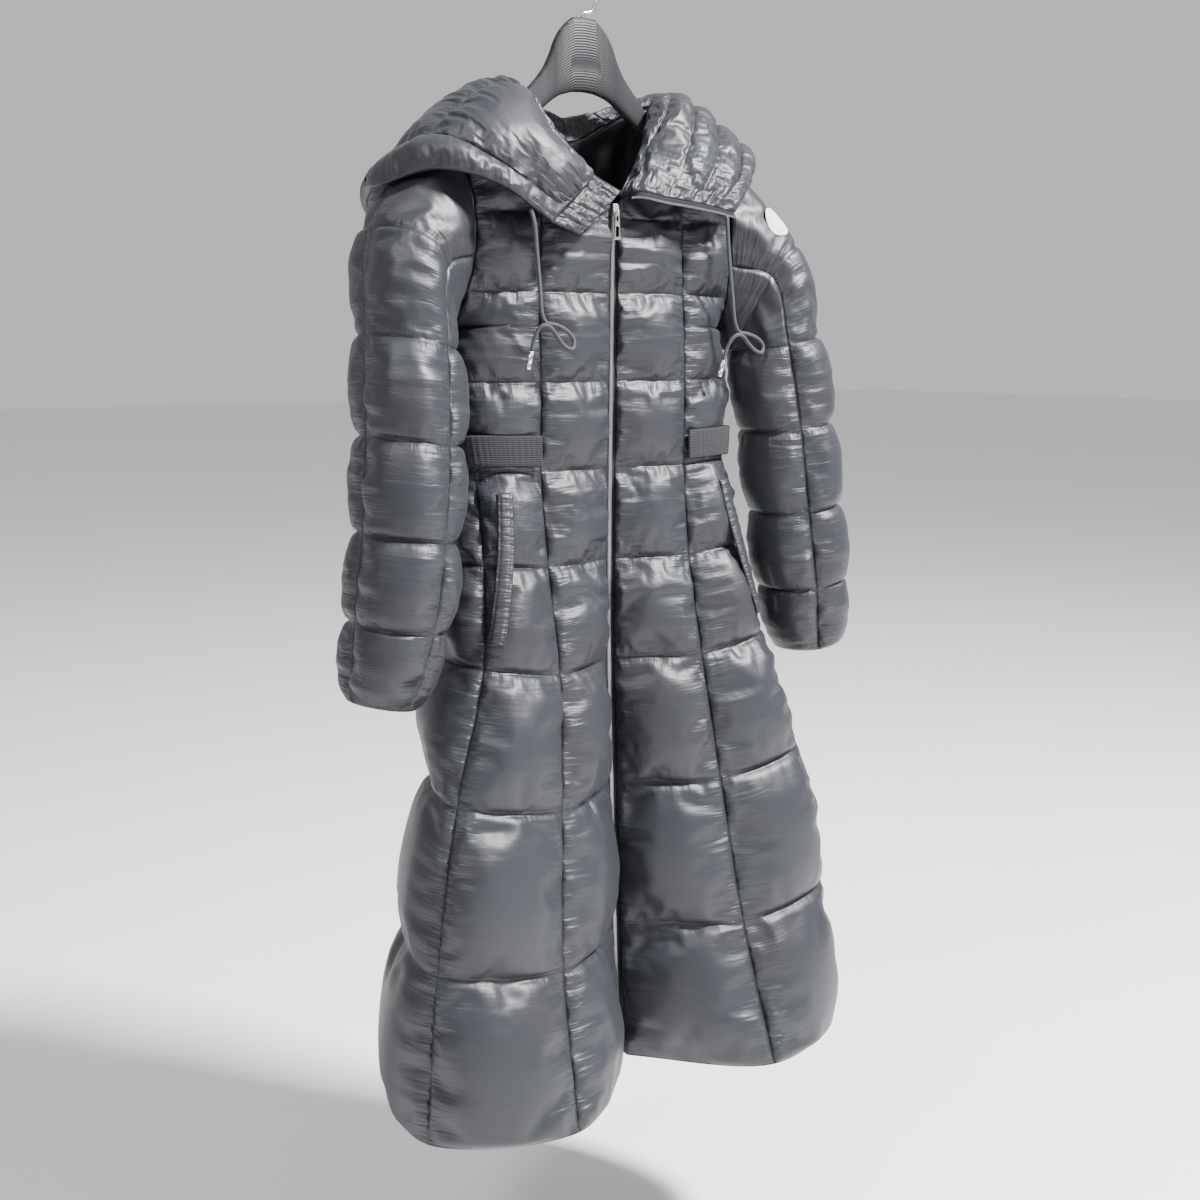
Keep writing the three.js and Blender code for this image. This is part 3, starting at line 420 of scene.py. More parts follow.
def new_piece(name, points, faces, materials, uv=None, attributes=None, slots=None, smooth=True):
    """A mesh piece in the row frame from points in millimetres."""
    mesh = bpy.data.meshes.new(name)
    mesh.from_pydata((np.asarray(points, float) * MM).tolist(), [], [tuple(int(k) for k in f) for f in faces])
    for material in materials:
        mesh.materials.append(material)
    if slots is not None:
        mesh.polygons.foreach_set("material_index", np.asarray(slots, np.int32))
    if uv is not None:
        corners = np.empty(len(mesh.loops), np.int32)
        mesh.loops.foreach_get("vertex_index", corners)
        layer = mesh.uv_layers.new(name="Cloth")
        layer.data.foreach_set("uv", np.asarray(uv, float)[corners].ravel())
    for label, values in (attributes or {}).items():
        field = mesh.attributes.new(label, "FLOAT", "POINT")
        field.data.foreach_set("value", np.asarray(values, np.float32))
    if smooth:
        mesh.polygons.foreach_set("use_smooth", np.ones(len(mesh.polygons), bool))
    mesh.update()
    mesh.validate()
    piece = bpy.data.objects.new(name, mesh)
    bpy.context.scene.collection.objects.link(piece)
    return piece


def closed_volume(points, faces):
    """Six times the volume; below 0 where the faces point inwards."""
    corners = np.array([(f[0], f[k], f[k + 1]) for f in faces for k in range(1, len(f) - 1)])
    a, b, c = np.asarray(points, float)[corners.T]
    return np.einsum("ij,ij->i", a, np.cross(b, c)).sum()


def wall(name, outer, inner, materials, uv=None, attributes=None):
    """A closed wall between an outer and an inner grid of points. The inner side has slot 1."""
    same = outer.shape == inner.shape
    rows, columns = outer.shape[:2]
    low_rows, low_columns = inner.shape[:2]
    points = np.concatenate([outer.reshape(-1, 3), inner.reshape(-1, 3)])
    top = np.arange(rows * columns).reshape(rows, columns)
    under = rows * columns + np.arange(low_rows * low_columns).reshape(low_rows, low_columns)
    faces = [tuple(f) for f in grid_quads(top)]
    outer_count = len(faces)
    faces += [tuple(f[::-1]) for f in grid_quads(under)]
    inner_count = len(faces) - outer_count
    stitch(faces, top[0], under[0], False)
    stitch(faces, top[:, -1], under[:, -1], False)
    stitch(faces, top[-1], under[-1], True)
    stitch(faces, top[:, 0], under[:, 0], True)
    if closed_volume(points, faces) < 0:
        faces = [f[::-1] for f in faces]
    slots = [0] * outer_count + [1] * inner_count + [0] * (len(faces) - outer_count - inner_count)
    if len(materials) < 2:
        slots = [0] * len(faces)
    all_uv = None
    if uv is not None:
        low_uv = uv[np.linspace(0, rows - 1, low_rows).round().astype(int)]
        low_uv = low_uv[:, np.linspace(0, columns - 1, low_columns).round().astype(int)]
        all_uv = np.concatenate([uv.reshape(-1, 2), low_uv.reshape(-1, 2)])
    fields = {}
    for label, values in (attributes or {}).items():
        under_values = values.ravel() if same else np.full(low_rows * low_columns, 50.0)
        fields[label] = np.concatenate([values.ravel(), under_values])
    return new_piece(name, points, faces, materials, all_uv, fields, slots)


def cloth_uv(base):
    """Distances across and down a panel in metres, so that a weave keeps its size."""
    rows, columns = base.shape[:2]
    width = np.linalg.norm(np.diff(base, axis=1), axis=2).sum(1).mean() * MM
    steps = np.linalg.norm(np.diff(base[:, columns // 2], axis=0), axis=1)
    down = np.concatenate([[0], np.cumsum(steps)]) * MM
    u = np.linspace(0, width, columns)
    return np.stack(np.broadcast_arrays(u[None, :], -down[:, None]), -1)


def padded_piece(surface, name, nodes, materials, under=None):
    """A settled panel closed with its inner wall, which is plain unless a lift for it is given."""
    sharp = (surface["u_sharp"], surface["v_sharp"])
    outer = refine(surface["cloth"], *sharp)
    uv = cloth_uv(surface["base"])
    uv = np.stack([double_flat(uv[..., 0]), double_flat(uv[..., 1])], -1)
    fields = {"to_side": double_flat(surface["to_side"]), "to_row": double_flat(surface["to_row"])}
    if under is None:
        inner = shift(surface, np.full(surface["rise"].shape, -SEAM))
        rows, columns = surface["rise"].shape
        inner = inner[np.linspace(0, rows - 1, 1 + (rows - 1) // 6).round().astype(int)]
        inner = inner[:, np.linspace(0, columns - 1, 5).round().astype(int)]
    else:
        inner = refine(shift(surface, -SEAM - under), *sharp)
    piece = wall(name, outer, inner, materials, uv, fields)
    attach(piece, "coat")
    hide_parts(*nodes)
    return piece


# Cloth simulation: a little more cloth than the seams, filled by the down
CLOTH_FRAMES, CLOTH_CAP, CLOTH_PRESSURE = 20, 8, 4
PANEL_SLACK, BRIM_SLACK = 0.045, 0.08
CLOTH_SETTINGS = {
    "quality": 4, "mass": 0.1, "tension_stiffness": 20, "compression_stiffness": 20,
    "shear_stiffness": 5, "bending_stiffness": 0.05, "air_damping": 2,
    "vertex_group_mass": "seams", "vertex_group_shrink": "loose",
    "shrink_min": -PANEL_SLACK, "shrink_max": -BRIM_SLACK,
    "use_pressure": True, "uniform_pressure_force": CLOTH_PRESSURE,
}
START_FILL, FOLD_SEED = 0.88, 100
FOLD_REACH, PUCKER_REACH = 26, 13
GATHER_LIFT, PUCKER_LIFT, DENT_LIFT, SEAM_HOLD = 3.0, 0.8, 0.35, 2.0


def panel_steps(first, last, per_cell):
    return np.linspace(first, last, int(round((last - first) * per_cell)) + 1)


def shift(surface, lift):
    return surface["base"] + surface["normal"] * lift[..., None]


def blurred(values, down, across):
    """Noise smoothed by a different reach down and across, back to unit height."""
    for axis, reach in ((0, down), (1, across)):
        half = int(3 * reach) + 1
        kernel = np.exp(-0.5 * (np.arange(-half, half + 1) / reach) ** 2)
        kernel /= kernel.sum()
        width = [(half, half) if k == axis else (0, 0) for k in (0, 1)]
        padded = np.pad(values, width, mode="reflect" if min(values.shape) > half else "edge")
        values = np.apply_along_axis(lambda line: np.convolve(line, kernel, "valid"), axis, padded)
    return values / max(values.std(), 1e-9)


def folds(surface, chance):
    """Small folds that start at the seams, different on each panel, in millimetres."""
    shape = surface["rise"].shape
    to_side, to_row = surface["to_side"], surface["to_row"]
    held = surface["rise"] / (surface["rise"] + SEAM_HOLD)
    gathers = blurred(chance.normal(0, 1, shape), 0.9, 5) * np.exp(-to_side / FOLD_REACH)
    puckers = blurred(chance.normal(0, 1, shape), 3, 0.8) * np.exp(-to_row / PUCKER_REACH)
    dents = blurred(chance.normal(0, 1, shape), 3, 3)
    return (gathers * GATHER_LIFT + puckers * PUCKER_LIFT + dents * DENT_LIFT) * held


def fill_with_down(beds):
    """Puts the cloth's points on each bed, under 'cloth', after it has settled between its seams."""
    for number, surface in enumerate(beds):
        chance = np.random.default_rng(FOLD_SEED + number)
        lift = SEAM + surface["rise"] * START_FILL + folds(surface, chance)
        surface["cloth"] = shift(surface, lift)
    simulate(beds)
    for surface in beds:
        if "limit" in surface:
            press(surface, surface["limit"])


def press(surface, limit):
    """Keeps the cloth below a limit over its base, where something lies on it."""
    lift = ((surface["cloth"] - surface["base"]) * surface["normal"]).sum(-1)
    surface["cloth"] = surface["cloth"] - surface["normal"] * np.maximum(lift - limit, 0)[..., None]


def trial_mesh(beds):
    """All the panels' cloth as one mesh in metres, with groups for its seams and its looser cloth."""
    starts, pins, loose, quads = [], [], [], []
    count = 0
    for surface in beds:
        rows, columns = surface["rise"].shape
        pinned = np.zeros((rows, columns), bool)
        pinned[surface["v_sharp"], :] = True
        pinned[:, surface["u_sharp"]] = True
        index = count + np.arange(rows * columns).reshape(rows, columns)
        faces = grid_quads(index)
        down = surface["base"][1:, :-1] - surface["base"][:-1, :-1]
        across = surface["base"][:-1, 1:] - surface["base"][:-1, :-1]
        if (np.cross(down, across) * surface["normal"][:-1, :-1]).sum() < 0:
            faces = faces[:, ::-1]
        quads.append(faces)
        starts.append(surface["cloth"].reshape(-1, 3))
        pins.append(index[pinned])
        if surface["slack"] == BRIM_SLACK:
            loose.append(index.ravel())
        count += rows * columns
    starts = np.concatenate(starts) * MM
    mesh = bpy.data.meshes.new("cloth_trial")
    mesh.from_pydata(starts.tolist(), [], np.concatenate(quads).tolist())
    trial = bpy.data.objects.new("cloth_trial", mesh)
    bpy.context.scene.collection.objects.link(trial)
    for name, chosen in (("seams", pins), ("loose", loose)):
        group = trial.vertex_groups.new(name=name)
        group.add([int(k) for k in np.concatenate(chosen)], 1.0, "REPLACE")
    return trial, starts


def simulate(beds):
    """Blender's Cloth with pressure inside, on all the panels as one trial mesh."""
    trial, starts = trial_mesh(beds)
    cloth = trial.modifiers.new("Cloth", "CLOTH")
    for label, value in CLOTH_SETTINGS.items():
        setattr(cloth.settings, label, value)
    cloth.settings.effector_weights.gravity = 0
    cloth.point_cache.frame_end = CLOTH_FRAMES
    for number in range(1, CLOTH_FRAMES + 1):
        bpy.context.scene.frame_set(number)
    drawn = trial.evaluated_get(bpy.context.evaluated_depsgraph_get()).to_mesh()
    settled = np.empty(len(starts) * 3, np.float32)
    drawn.vertices.foreach_get("co", settled)
    moved = (settled.reshape(-1, 3) - starts) / MM
    far = np.linalg.norm(moved, axis=1, keepdims=True)
    settled = starts / MM + moved * np.minimum(1, CLOTH_CAP / np.maximum(far, 1e-9))
    bpy.context.scene.frame_set(1)
    bpy.data.objects.remove(trial)
    done = 0
    for surface in beds:
        shape = surface["rise"].shape
        size = shape[0] * shape[1]
        surface["cloth"] = settled[done:done + size].reshape(*shape, 3)
        done += size


# Finishes
class Wire:
    """One output in a finish. Arithmetic on it adds Math nodes."""

    def __init__(self, paint, node, socket):
        self.paint = paint
        self.node = node
        self.socket = socket

    def out(self, name):
        return Wire(self.paint, self.node, self.node.outputs[name])

    def maths(self, operation, *others):
        return self.paint.add("ShaderNodeMath", {"operation": operation}, self, *others)

    def __add__(self, other):
        return self.maths("ADD", other)

    def __mul__(self, other):
        return self.maths("MULTIPLY", other)

    def __sub__(self, other):
        return self.maths("SUBTRACT", other)

    def __rsub__(self, other):
        return self.paint.add("ShaderNodeMath", {"operation": "SUBTRACT"}, other, self)

    __radd__ = __add__
    __rmul__ = __mul__

    def fade(self, length):
        """1 where the value is 0, falling away over a length."""
        return (self * (-1 / length)).maths("EXPONENT")

    def inside(self, low, high):
        """0 below low, 1 above high, smooth between."""
        settings = {"interpolation_type": "SMOOTHSTEP", "clamp": True}
        return self.paint.add("ShaderNodeMapRange", settings, self, low, high)


class Paint:
    """A finish: one shader, and the nodes that feed it."""

    def __init__(self, name, **constants):
        self.material = bpy.data.materials.new(name)
        self.material.use_nodes = True
        self.tree = self.material.node_tree
        self.shader = next(n for n in self.tree.nodes if n.type == "BSDF_PRINCIPLED")
        for label, value in constants.items():
            self.shader.inputs[label.replace("_", " ")].default_value = value

    def add(self, kind, settings=None, *values, **named):
        node = self.tree.nodes.new(kind)
        for label, value in (settings or {}).items():
            setattr(node, label, value)
        pairs = list(enumerate(values)) + [(k.replace("_", " "), v) for k, v in named.items()]
        for key, value in pairs:
            socket = node.inputs[key]
            if isinstance(value, Wire):
                self.tree.links.new(value.socket, socket)
            else:
                socket.default_value = value
        return Wire(self, node, node.outputs[0])

    def place(self):
        return self.add("ShaderNodeUVMap", {"uv_map": "Cloth"})

    def split(self, vector):
        node = self.add("ShaderNodeSeparateXYZ", None, vector)
        return node.out("X"), node.out("Y")

    def join(self, x, y, z=0.0):
        return self.add("ShaderNodeCombineXYZ", None, x, y, z)

    def noise(self, vector, scale=1.0, detail=2.0, roughness=0.5, distortion=0.0):
        node = self.add("ShaderNodeTexNoise", None, Vector=vector, Scale=scale, Detail=detail,
                        Roughness=roughness, Distortion=distortion)
        return node.out("Fac")

    def field(self, name):
        return self.add("ShaderNodeAttribute", {"attribute_name": name}).out("Fac")

    def mix(self, share, a, b):
        node = self.tree.nodes.new("ShaderNodeMix")
        node.data_type = "RGBA"
        for key, value in ((0, share), (6, a), (7, b)):
            if isinstance(value, Wire):
                self.tree.links.new(value.socket, node.inputs[key])
            else:
                node.inputs[key].default_value = value if key == 0 else (*value, 1)
        return Wire(self, node, node.outputs[2])

    def feed(self, label, wire):
        self.tree.links.new(wire.socket, self.shader.inputs[label])

    def relief(self, height):
        """The surface's small relief, as a height in metres."""
        bump = self.add("ShaderNodeBump", None, Height=height, Distance=1.0, Strength=1.0)
        self.feed("Normal", bump)


# Relief in metres, and reach from a seam in millimetres
GATHER_RELIEF, PUCKER_RELIEF, SOFT_RELIEF = 0.0042, 0.0024, 0.0016
GRAIN_RELIEF, THREAD_RELIEF = 0.00004, 0.00002
GATHER_FADE, PUCKER_FADE, SEAM_START = 20, 12, 4.0
THREADS_A_METRE = 5200
# Painted shade in the seam valleys: how strongly it darkens the cloth, and how dark a share of the cloth's
# colour it reaches
PAINTED_SEAM_SHADE, PAINTED_SEAM_SHADE_TONE = 0.8, 0.35


def quilted_nylon(name, colour, sheen, gathers, roughness):
    """Smooth down-proof nylon: fine grain, gathers beside the seams, soft creases, and painted shade that
    darkens the seam valleys.
    """
    paint = Paint(name, Sheen_Weight=sheen, Sheen_Roughness=0.4, Specular_IOR_Level=0.42)
    place = paint.place()
    u, v = paint.split(place)
    to_side = paint.field("to_side")
    to_row = paint.field("to_row")
    beside = to_side.fade(GATHER_FADE) * to_side.inside(0.0, SEAM_START)
    below = to_row.fade(PUCKER_FADE) * to_row.inside(0.0, SEAM_START)
    across = paint.noise(paint.join(u * 16, v * 115), 1.0, 3.0, 0.55, 0.6)
    down = paint.noise(paint.join(u * 85, v * 20), 1.0, 2.0, 0.5, 0.6)
    soft = paint.noise(place, 13.0, 3.0, 0.55, 1.2)
    grain = paint.noise(place, 1500.0, 1.0)
    threads = (u * THREADS_A_METRE).maths("SINE") * (v * THREADS_A_METRE).maths("SINE")
    height = (across - 0.5) * beside * (GATHER_RELIEF * gathers)
    height = height + (down - 0.5) * below * (PUCKER_RELIEF * gathers)
    height = height + (soft - 0.5) * SOFT_RELIEF + grain * GRAIN_RELIEF + threads * THREAD_RELIEF
    paint.relief(height)
    tone = paint.noise(place, 6.0, 2.0)
    # Painted shade: the base colour darkens within a few millimetres of the seams, in the valleys where shade
    # falls
    painted_seam_shade = 1 - to_row.inside(0.0, 3.0) * to_side.inside(0.0, 2.0)
    cool = tuple(c * k for c, k in zip(colour, (0.9, 0.98, 1.08)))
    warm = tuple(c * k for c, k in zip(colour, (1.12, 1.0, 1.0)))
    cloth = paint.mix(tone, cool, warm)
    paint.feed("Base Color", paint.mix(painted_seam_shade * PAINTED_SEAM_SHADE, cloth, tuple(c * PAINTED_SEAM_SHADE_TONE for c in colour)))
    paint.feed("Roughness", grain * 0.1 + soft * 0.08 + (roughness - 0.09))
    return paint.material


def ribbed_elastic():
    paint = Paint("ribbed elastic", Sheen_Weight=0.04, Sheen_Roughness=0.6, Specular_IOR_Level=0.16)
    place = paint.place()
    u, v = paint.split(place)
    ribs = (v * (2 * math.pi / 0.0026)).maths("SINE")
    knit = (u * (2 * math.pi / 0.0016)).maths("SINE")
    fuzz = paint.noise(place, 900.0, 2.0)
    paint.relief(ribs * 0.00022 + ribs * knit * 0.0001 + fuzz * 0.00012)
    tone = ribs * 0.22 + fuzz * 0.5 + 0.15
    paint.feed("Base Color", paint.mix(tone, (0.010, 0.011, 0.012), (0.035, 0.036, 0.04)))
    paint.feed("Roughness", fuzz * 0.15 + 0.75)
    return paint.material


def woven_tape():
    paint = Paint("woven zip tape", Sheen_Weight=0.04, Sheen_Roughness=0.5, Specular_IOR_Level=0.2)
    place = paint.place()
    u, v = paint.split(place)
    slant = ((u.maths("ABSOLUTE") + v) * (2 * math.pi / 0.0014)).maths("SINE")
    fuzz = paint.noise(place, 1200.0, 2.0)
    paint.relief(slant * 0.00010 + fuzz * 0.00006)
    paint.feed("Base Color", paint.mix(slant * 0.3 + 0.4, (0.006, 0.006, 0.007), (0.02, 0.02, 0.022)))
    paint.feed("Roughness", fuzz * 0.15 + 0.62)
    return paint.material


def polished_metal(name, colour, roughness, wear):
    """Plated metal with fine scratches and dulled patches."""
    paint = Paint(name, Metallic=1.0)
    place = paint.add("ShaderNodeTexCoord").out("Object")
    patches = paint.noise(place, 160.0, 3.0)
    scratch = paint.noise(paint.add("ShaderNodeMapping", None, place, Scale=(900, 900, 90)), 1.0, 2.0)
    paint.relief(scratch * wear * 0.00003)
    paint.feed("Roughness", patches * wear * 0.25 + (roughness - 0.05))
    dull = tuple(c * 0.7 for c in colour)
    paint.feed("Base Color", paint.mix(patches.inside(0.45, 0.75) * wear, colour, dull))
    return paint.material


def braided_cord():
    paint = Paint("braided cord", Sheen_Weight=0.05, Sheen_Roughness=0.5, Specular_IOR_Level=0.25)
    u, v = paint.split(paint.place())
    right = ((u * 6 + v * 260) * (2 * math.pi)).maths("SINE")
    left = ((u * 6 - v * 260) * (2 * math.pi)).maths("SINE")
    braid = right.maths("MAXIMUM", left)
    paint.relief(braid * 0.00025)
    paint.feed("Base Color", paint.mix(braid.inside(-0.6, 1.0), (0.012, 0.013, 0.015), (0.06, 0.062, 0.068)))
    paint.feed("Roughness", braid * -0.08 + 0.62)
    return paint.material


def badge_weave():
    """A plain white woven badge with a raised stitched rim and an inner ring."""
    paint = Paint("badge weave", Specular_IOR_Level=0.35, Sheen_Weight=0.15)
    u, v = paint.split(paint.place())
    radius = (u * u + v * v).maths("SQRT")
    turn = u.maths("ARCTAN2", v)
    rim = radius.inside(0.86, 0.9)
    rays = (turn * 110).maths("SINE")
    twill = ((u + v) * 240).maths("SINE")
    ring = radius.inside(0.68, 0.7) * (1 - radius.inside(0.72, 0.74))
    paint.relief(rim * (rays * 0.00012 + 0.0005) + (1 - rim) * twill * 0.00006 - ring * 0.0002)
    plain = paint.mix(twill * 0.2 + 0.5, (0.62, 0.62, 0.60), (0.74, 0.74, 0.72))
    ringed = paint.mix(ring * 0.75, plain, (0.16, 0.165, 0.18))
    paint.feed("Base Color", paint.mix(rim, ringed, (0.70, 0.70, 0.68)))
    paint.feed("Roughness", twill * 0.05 + 0.7)
    return paint.material


def grooved_plastic():
    """Dark moulded plastic with fine grooves that follow the hanger's arms."""
    paint = Paint("grooved plastic", Specular_IOR_Level=0.25)
    place = paint.place()
    u, v = paint.split(place)
    sway = paint.noise(paint.join(u * 9, v * 4), 1.0, 1.0)
    groove = ((v + sway * 0.002) * (2 * math.pi / 0.0032)).maths("SINE")
    flat = paint.field("plate")
    speck = paint.noise(place, 1400.0, 2.0)
    paint.relief(groove * (1 - flat) * 0.00016 + speck * 0.00005)
    tone = groove * (1 - flat) * 0.3 + speck * 0.35 + 0.2
    paint.feed("Base Color", paint.mix(tone, (0.010, 0.011, 0.012), (0.026, 0.027, 0.03)))
    paint.feed("Roughness", speck * 0.15 + groove * 0.05 + 0.42)
    return paint.material


def thread():
    paint = Paint("sewing thread", Sheen_Weight=0.05, Specular_IOR_Level=0.2)
    place = paint.add("ShaderNodeTexCoord").out("Object")
    twist = paint.noise(place, 2500.0, 1.0)
    paint.relief(twist * 0.00004)
    paint.feed("Base Color", paint.mix(twist, (0.012, 0.013, 0.015), (0.04, 0.042, 0.048)))
    paint.feed("Roughness", twist * 0.1 + 0.55)
    return paint.material


def studio_floor():
    paint = Paint("pale studio floor", Specular_IOR_Level=0.1)
    place = paint.add("ShaderNodeTexCoord").out("Object")
    tone = paint.noise(place, 3.0, 2.0)
    paint.feed("Base Color", paint.mix(tone, (0.86, 0.86, 0.86), (0.9, 0.9, 0.9)))
    paint.feed("Roughness", tone * 0.05 + 0.85)
    return paint.material


# The coat's padded panels
WELT_TOP, WELT_BOTTOM, WELT_TOP_PLACE, WELT_BOTTOM_PLACE = 4.24, 5.78, 1.7, 1.97
WELT_WIDTH, WELT_CLEAR, WELT_THICK = 0.2, 0.55, 3
WELT_MARGIN, WELT_END_MARGIN, WELT_SEWN = 0.02, 0.03, (0.16, 0.84)
NO_LIMIT = 99
ARMPIT_FLAT, ARMPIT_ACROSS, ARMPIT_DOWN = 0.7, 0.35, 0.6
PANEL_COLUMNS, PANEL_ROWS = 20, 20
SLEEVE_COLUMNS, SLEEVE_ROWS = 16, 18
BRIM_COLUMNS = 10
BAG_PUFF = 5


def body_bed(side, start):
    body = BODY[side]
    in_back = start >= 2

    def at(u, v):
        return body.at(u, v, in_back)

    def normal(u, v):
        return body.normal(u, v, in_back)

    def height(i, j, u, v):
        plain = np.where(j < 1, YOKE_PUFF, LEVEL[np.clip(j, 0, 8), 12])
        if start == 0:
            return np.where(j < 1, plain * 0.3, plain)
        away = ((u - 2) / ARMPIT_ACROSS) ** 2 + ((v - UNDERARM - 0.1) / ARMPIT_DOWN) ** 2
        return plain * band_squeeze(v) * (1 - ARMPIT_FLAT * np.exp(-away))

    us = panel_steps(start, start + 1, PANEL_COLUMNS)
    surface = bed(at, normal, us, panel_steps(0, 9, PANEL_ROWS), [start, start + 1], range(10), height)
    surface["slack"] = PANEL_SLACK
    if start > 0:
        surface["limit"] = under_band(surface)
    if start == 1:
        surface["limit"] = np.minimum(surface["limit"], under_welt(surface))
    return surface


def under_band(surface):
    """The most that the cloth may rise where the elastic band crosses it."""
    away = np.abs(surface["base"][..., 2] - BAND_Z)
    return BAND_STAND - 0.9 + np.maximum(0, away - BAND_HEIGHT / 2 - 3) * 0.9


def welt_place(v):
    """How far down the welt a place is, and its outer edge round the body."""
    share = (v - WELT_TOP) / (WELT_BOTTOM - WELT_TOP)
    return share, WELT_TOP_PLACE + (WELT_BOTTOM_PLACE - WELT_TOP_PLACE) * share


def welt_rise(u, v):
    puff = np.interp(v, [4.4, 5.6], [LEVEL[4, 12], LEVEL[5, 12]])
    return SEAM + puff * (4 * (u - 1) * (2 - u)) ** PUFF_SHARPNESS


def under_welt(surface):
    share, edge = welt_place(surface["v"])
    beside = (surface["u"] > edge - WELT_WIDTH - WELT_MARGIN) & (surface["u"] < edge + WELT_MARGIN)
    over = beside & (share > -WELT_END_MARGIN) & (share < 1 + WELT_END_MARGIN)
    return np.where(over, welt_rise(surface["u"], surface["v"]), NO_LIMIT)


def sleeve_bed(side, part):
    turns = {
        "front": (SLEEVE_FRONT, SLEEVE_OUTER), "back": (SLEEVE_OUTER, SLEEVE_BACK),
        "under": (SLEEVE_BACK, 360 + SLEEVE_FRONT),
    }
    first, last = turns[part]
    flip = np.array([side, 1, 1])

    def at(u, w):
        angle = first + (last - first) * u
        return half_sleeve(np.where(angle > 180, angle - 360, angle), w) * flip

    def outward(u, w):
        ring = np.clip(np.round(w).astype(int) - 1, 0, len(SLEEVE) - 1)
        return at(u, w) - SLEEVE[ring, :3] * flip

    turn = 4 / (last - first)

    def normal(u, w):
        wa, wb = np.clip(w - 0.05, 0, 6), np.clip(w + 0.05, 0, 6)
        n = unit(np.cross(at(u + turn, w) - at(u - turn, w), at(u, wb) - at(u, wa)))
        return np.where(((n * outward(u, w)).sum(1) < 0)[:, None], -n, n)

    def height(i, j, u, w):
        share = np.where(j < 2, CAP_SHARE[part], 1.0)
        return SLEEVE[np.clip(j, 0, 5), 6] * share

    us = panel_steps(0, 1, SLEEVE_COLUMNS)
    surface = bed(at, normal, us, panel_steps(0, 6, SLEEVE_ROWS), [0, 1], range(7), height)
    surface["slack"] = PANEL_SLACK
    return surface


def bag_share(t):
    return np.exp(-(((t - 6) / 2.6) ** 4))


def hood_bed(first, last, low, high, puff, cross_seams, long_seams, per_station, per_band):
    """Part of the hood between two stations and two places across it."""
    def height(i, j, t, q):
        return puff * (1 - bag_share(t)) + BAG_PUFF * bag_share(t)

    ts = panel_steps(first, last, per_station)
    qs = panel_steps(low, high, per_band)
    surface = bed(hood_at, hood_up, ts, qs, cross_seams, long_seams, height)
    surface["slack"] = BRIM_SLACK if low >= 4 else PANEL_SLACK
    return surface


def tab_bed():
    """The throat tab, its rows sewn along it."""
    near = np.array([HOOD[0][1], HOOD[0][5]], float)
    far = np.array([(-9, -95, -268), (-76, -108, -322)], float)

    def at(u, v):
        share = (v / 5)[:, None]
        start = near[0] + (near[1] - near[0]) * share
        end = far[0] + (far[1] - far[0]) * share
        p = start + (end - start) * (0.012 + u * 0.988)[:, None]
        p[:, 1] -= 3 * np.sin(np.pi * np.clip(v / 5, 0, 1))
        return p

    normal = normal_of(at, (0, 1, 0, 5), lambda u, v: np.tile([0.0, -1.0, 0.0], (len(u), 1)))
    rows = np.linspace(0, 5, 8)
    surface = bed(at, normal, panel_steps(0, 1, 44), np.linspace(0, 5, 36), [0, 1], rows,
                  lambda i, j, u, v: np.full(len(u), 2.4))
    surface["slack"] = PANEL_SLACK
    return surface


# The camera
CAMERA_PLACE = Vector((-1.065, -1.616, -0.450))
CAMERA_AZIMUTH, CAMERA_DOWN = math.radians(34.02), math.radians(9.82)
PHOTO_WIDTH, FOCAL_PIXELS, SENSOR = 1200, 1478.45, 36.0


def make_camera():
    data = bpy.data.cameras.new("camera")
    data.sensor_width = SENSOR
    data.sensor_fit = "HORIZONTAL"
    data.lens = SENSOR * FOCAL_PIXELS / PHOTO_WIDTH
    data.clip_end = 60
    camera = bpy.data.objects.new("camera", data)
    bpy.context.scene.collection.objects.link(camera)
    level = math.cos(CAMERA_DOWN)
    east, north = math.sin(CAMERA_AZIMUTH) * level, math.cos(CAMERA_AZIMUTH) * level
    looking = Vector((east, north, -math.sin(CAMERA_DOWN)))
    camera.location = CAMERA_PLACE
    camera.rotation_euler = looking.to_track_quat("-Z", "Y").to_euler()
    bpy.context.scene.camera = camera


# Tubes, cords and thread
def frames_along(route):
    """Tangent, normal and side at each point of a route, with no sudden twist."""
    tangent = unit(np.gradient(route, axis=0))
    normal = np.zeros_like(route)
    first = np.cross(tangent[0], [0.0, 1.0, 0.1])
    normal[0] = first / np.linalg.norm(first)
    for k in range(1, len(route)):
        n = normal[k - 1] - tangent[k] * np.dot(normal[k - 1], tangent[k])
        normal[k] = n / np.linalg.norm(n)
    return tangent, normal, np.cross(tangent, normal)


def tube(name, route, radii, sides, material):
    """A closed round tube along a route, with its length and turn as its map."""
    tangent, normal, side = frames_along(route)
    angle = np.linspace(0, 2 * np.pi, sides, endpoint=False)
    radii = np.broadcast_to(radii, len(route))
    rings = route[:, None, :] + radii[:, None, None] * (
        np.cos(angle)[None, :, None] * normal[:, None, :] + np.sin(angle)[None, :, None] * side[:, None, :])
    points = np.concatenate([rings.reshape(-1, 3), route[:1] - tangent[:1] * radii[0] * 0.3,
                             route[-1:] + tangent[-1:] * radii[-1] * 0.3])
    faces = []
    for k in range(len(route) - 1):
        for s in range(sides):
            a, b = k * sides + s, k * sides + (s + 1) % sides
            faces.append((a, b, b + sides, a + sides))
    end = (len(route) - 1) * sides
    for s in range(sides):
        faces.append((len(points) - 2, (s + 1) % sides, s))
        faces.append((len(points) - 1, end + s, end + (s + 1) % sides))
    lengths = np.concatenate([[0], np.cumsum(np.linalg.norm(np.diff(route, axis=0), axis=1))]) * MM
    u = np.tile(angle / (2 * np.pi), (len(route), 1))
    uv = np.concatenate([np.stack([u, np.repeat(lengths[:, None], sides, 1)], -1).reshape(-1, 2),
                         [[0, 0], [0, lengths[-1]]]])
    return new_piece(name, points, faces, [material], uv)


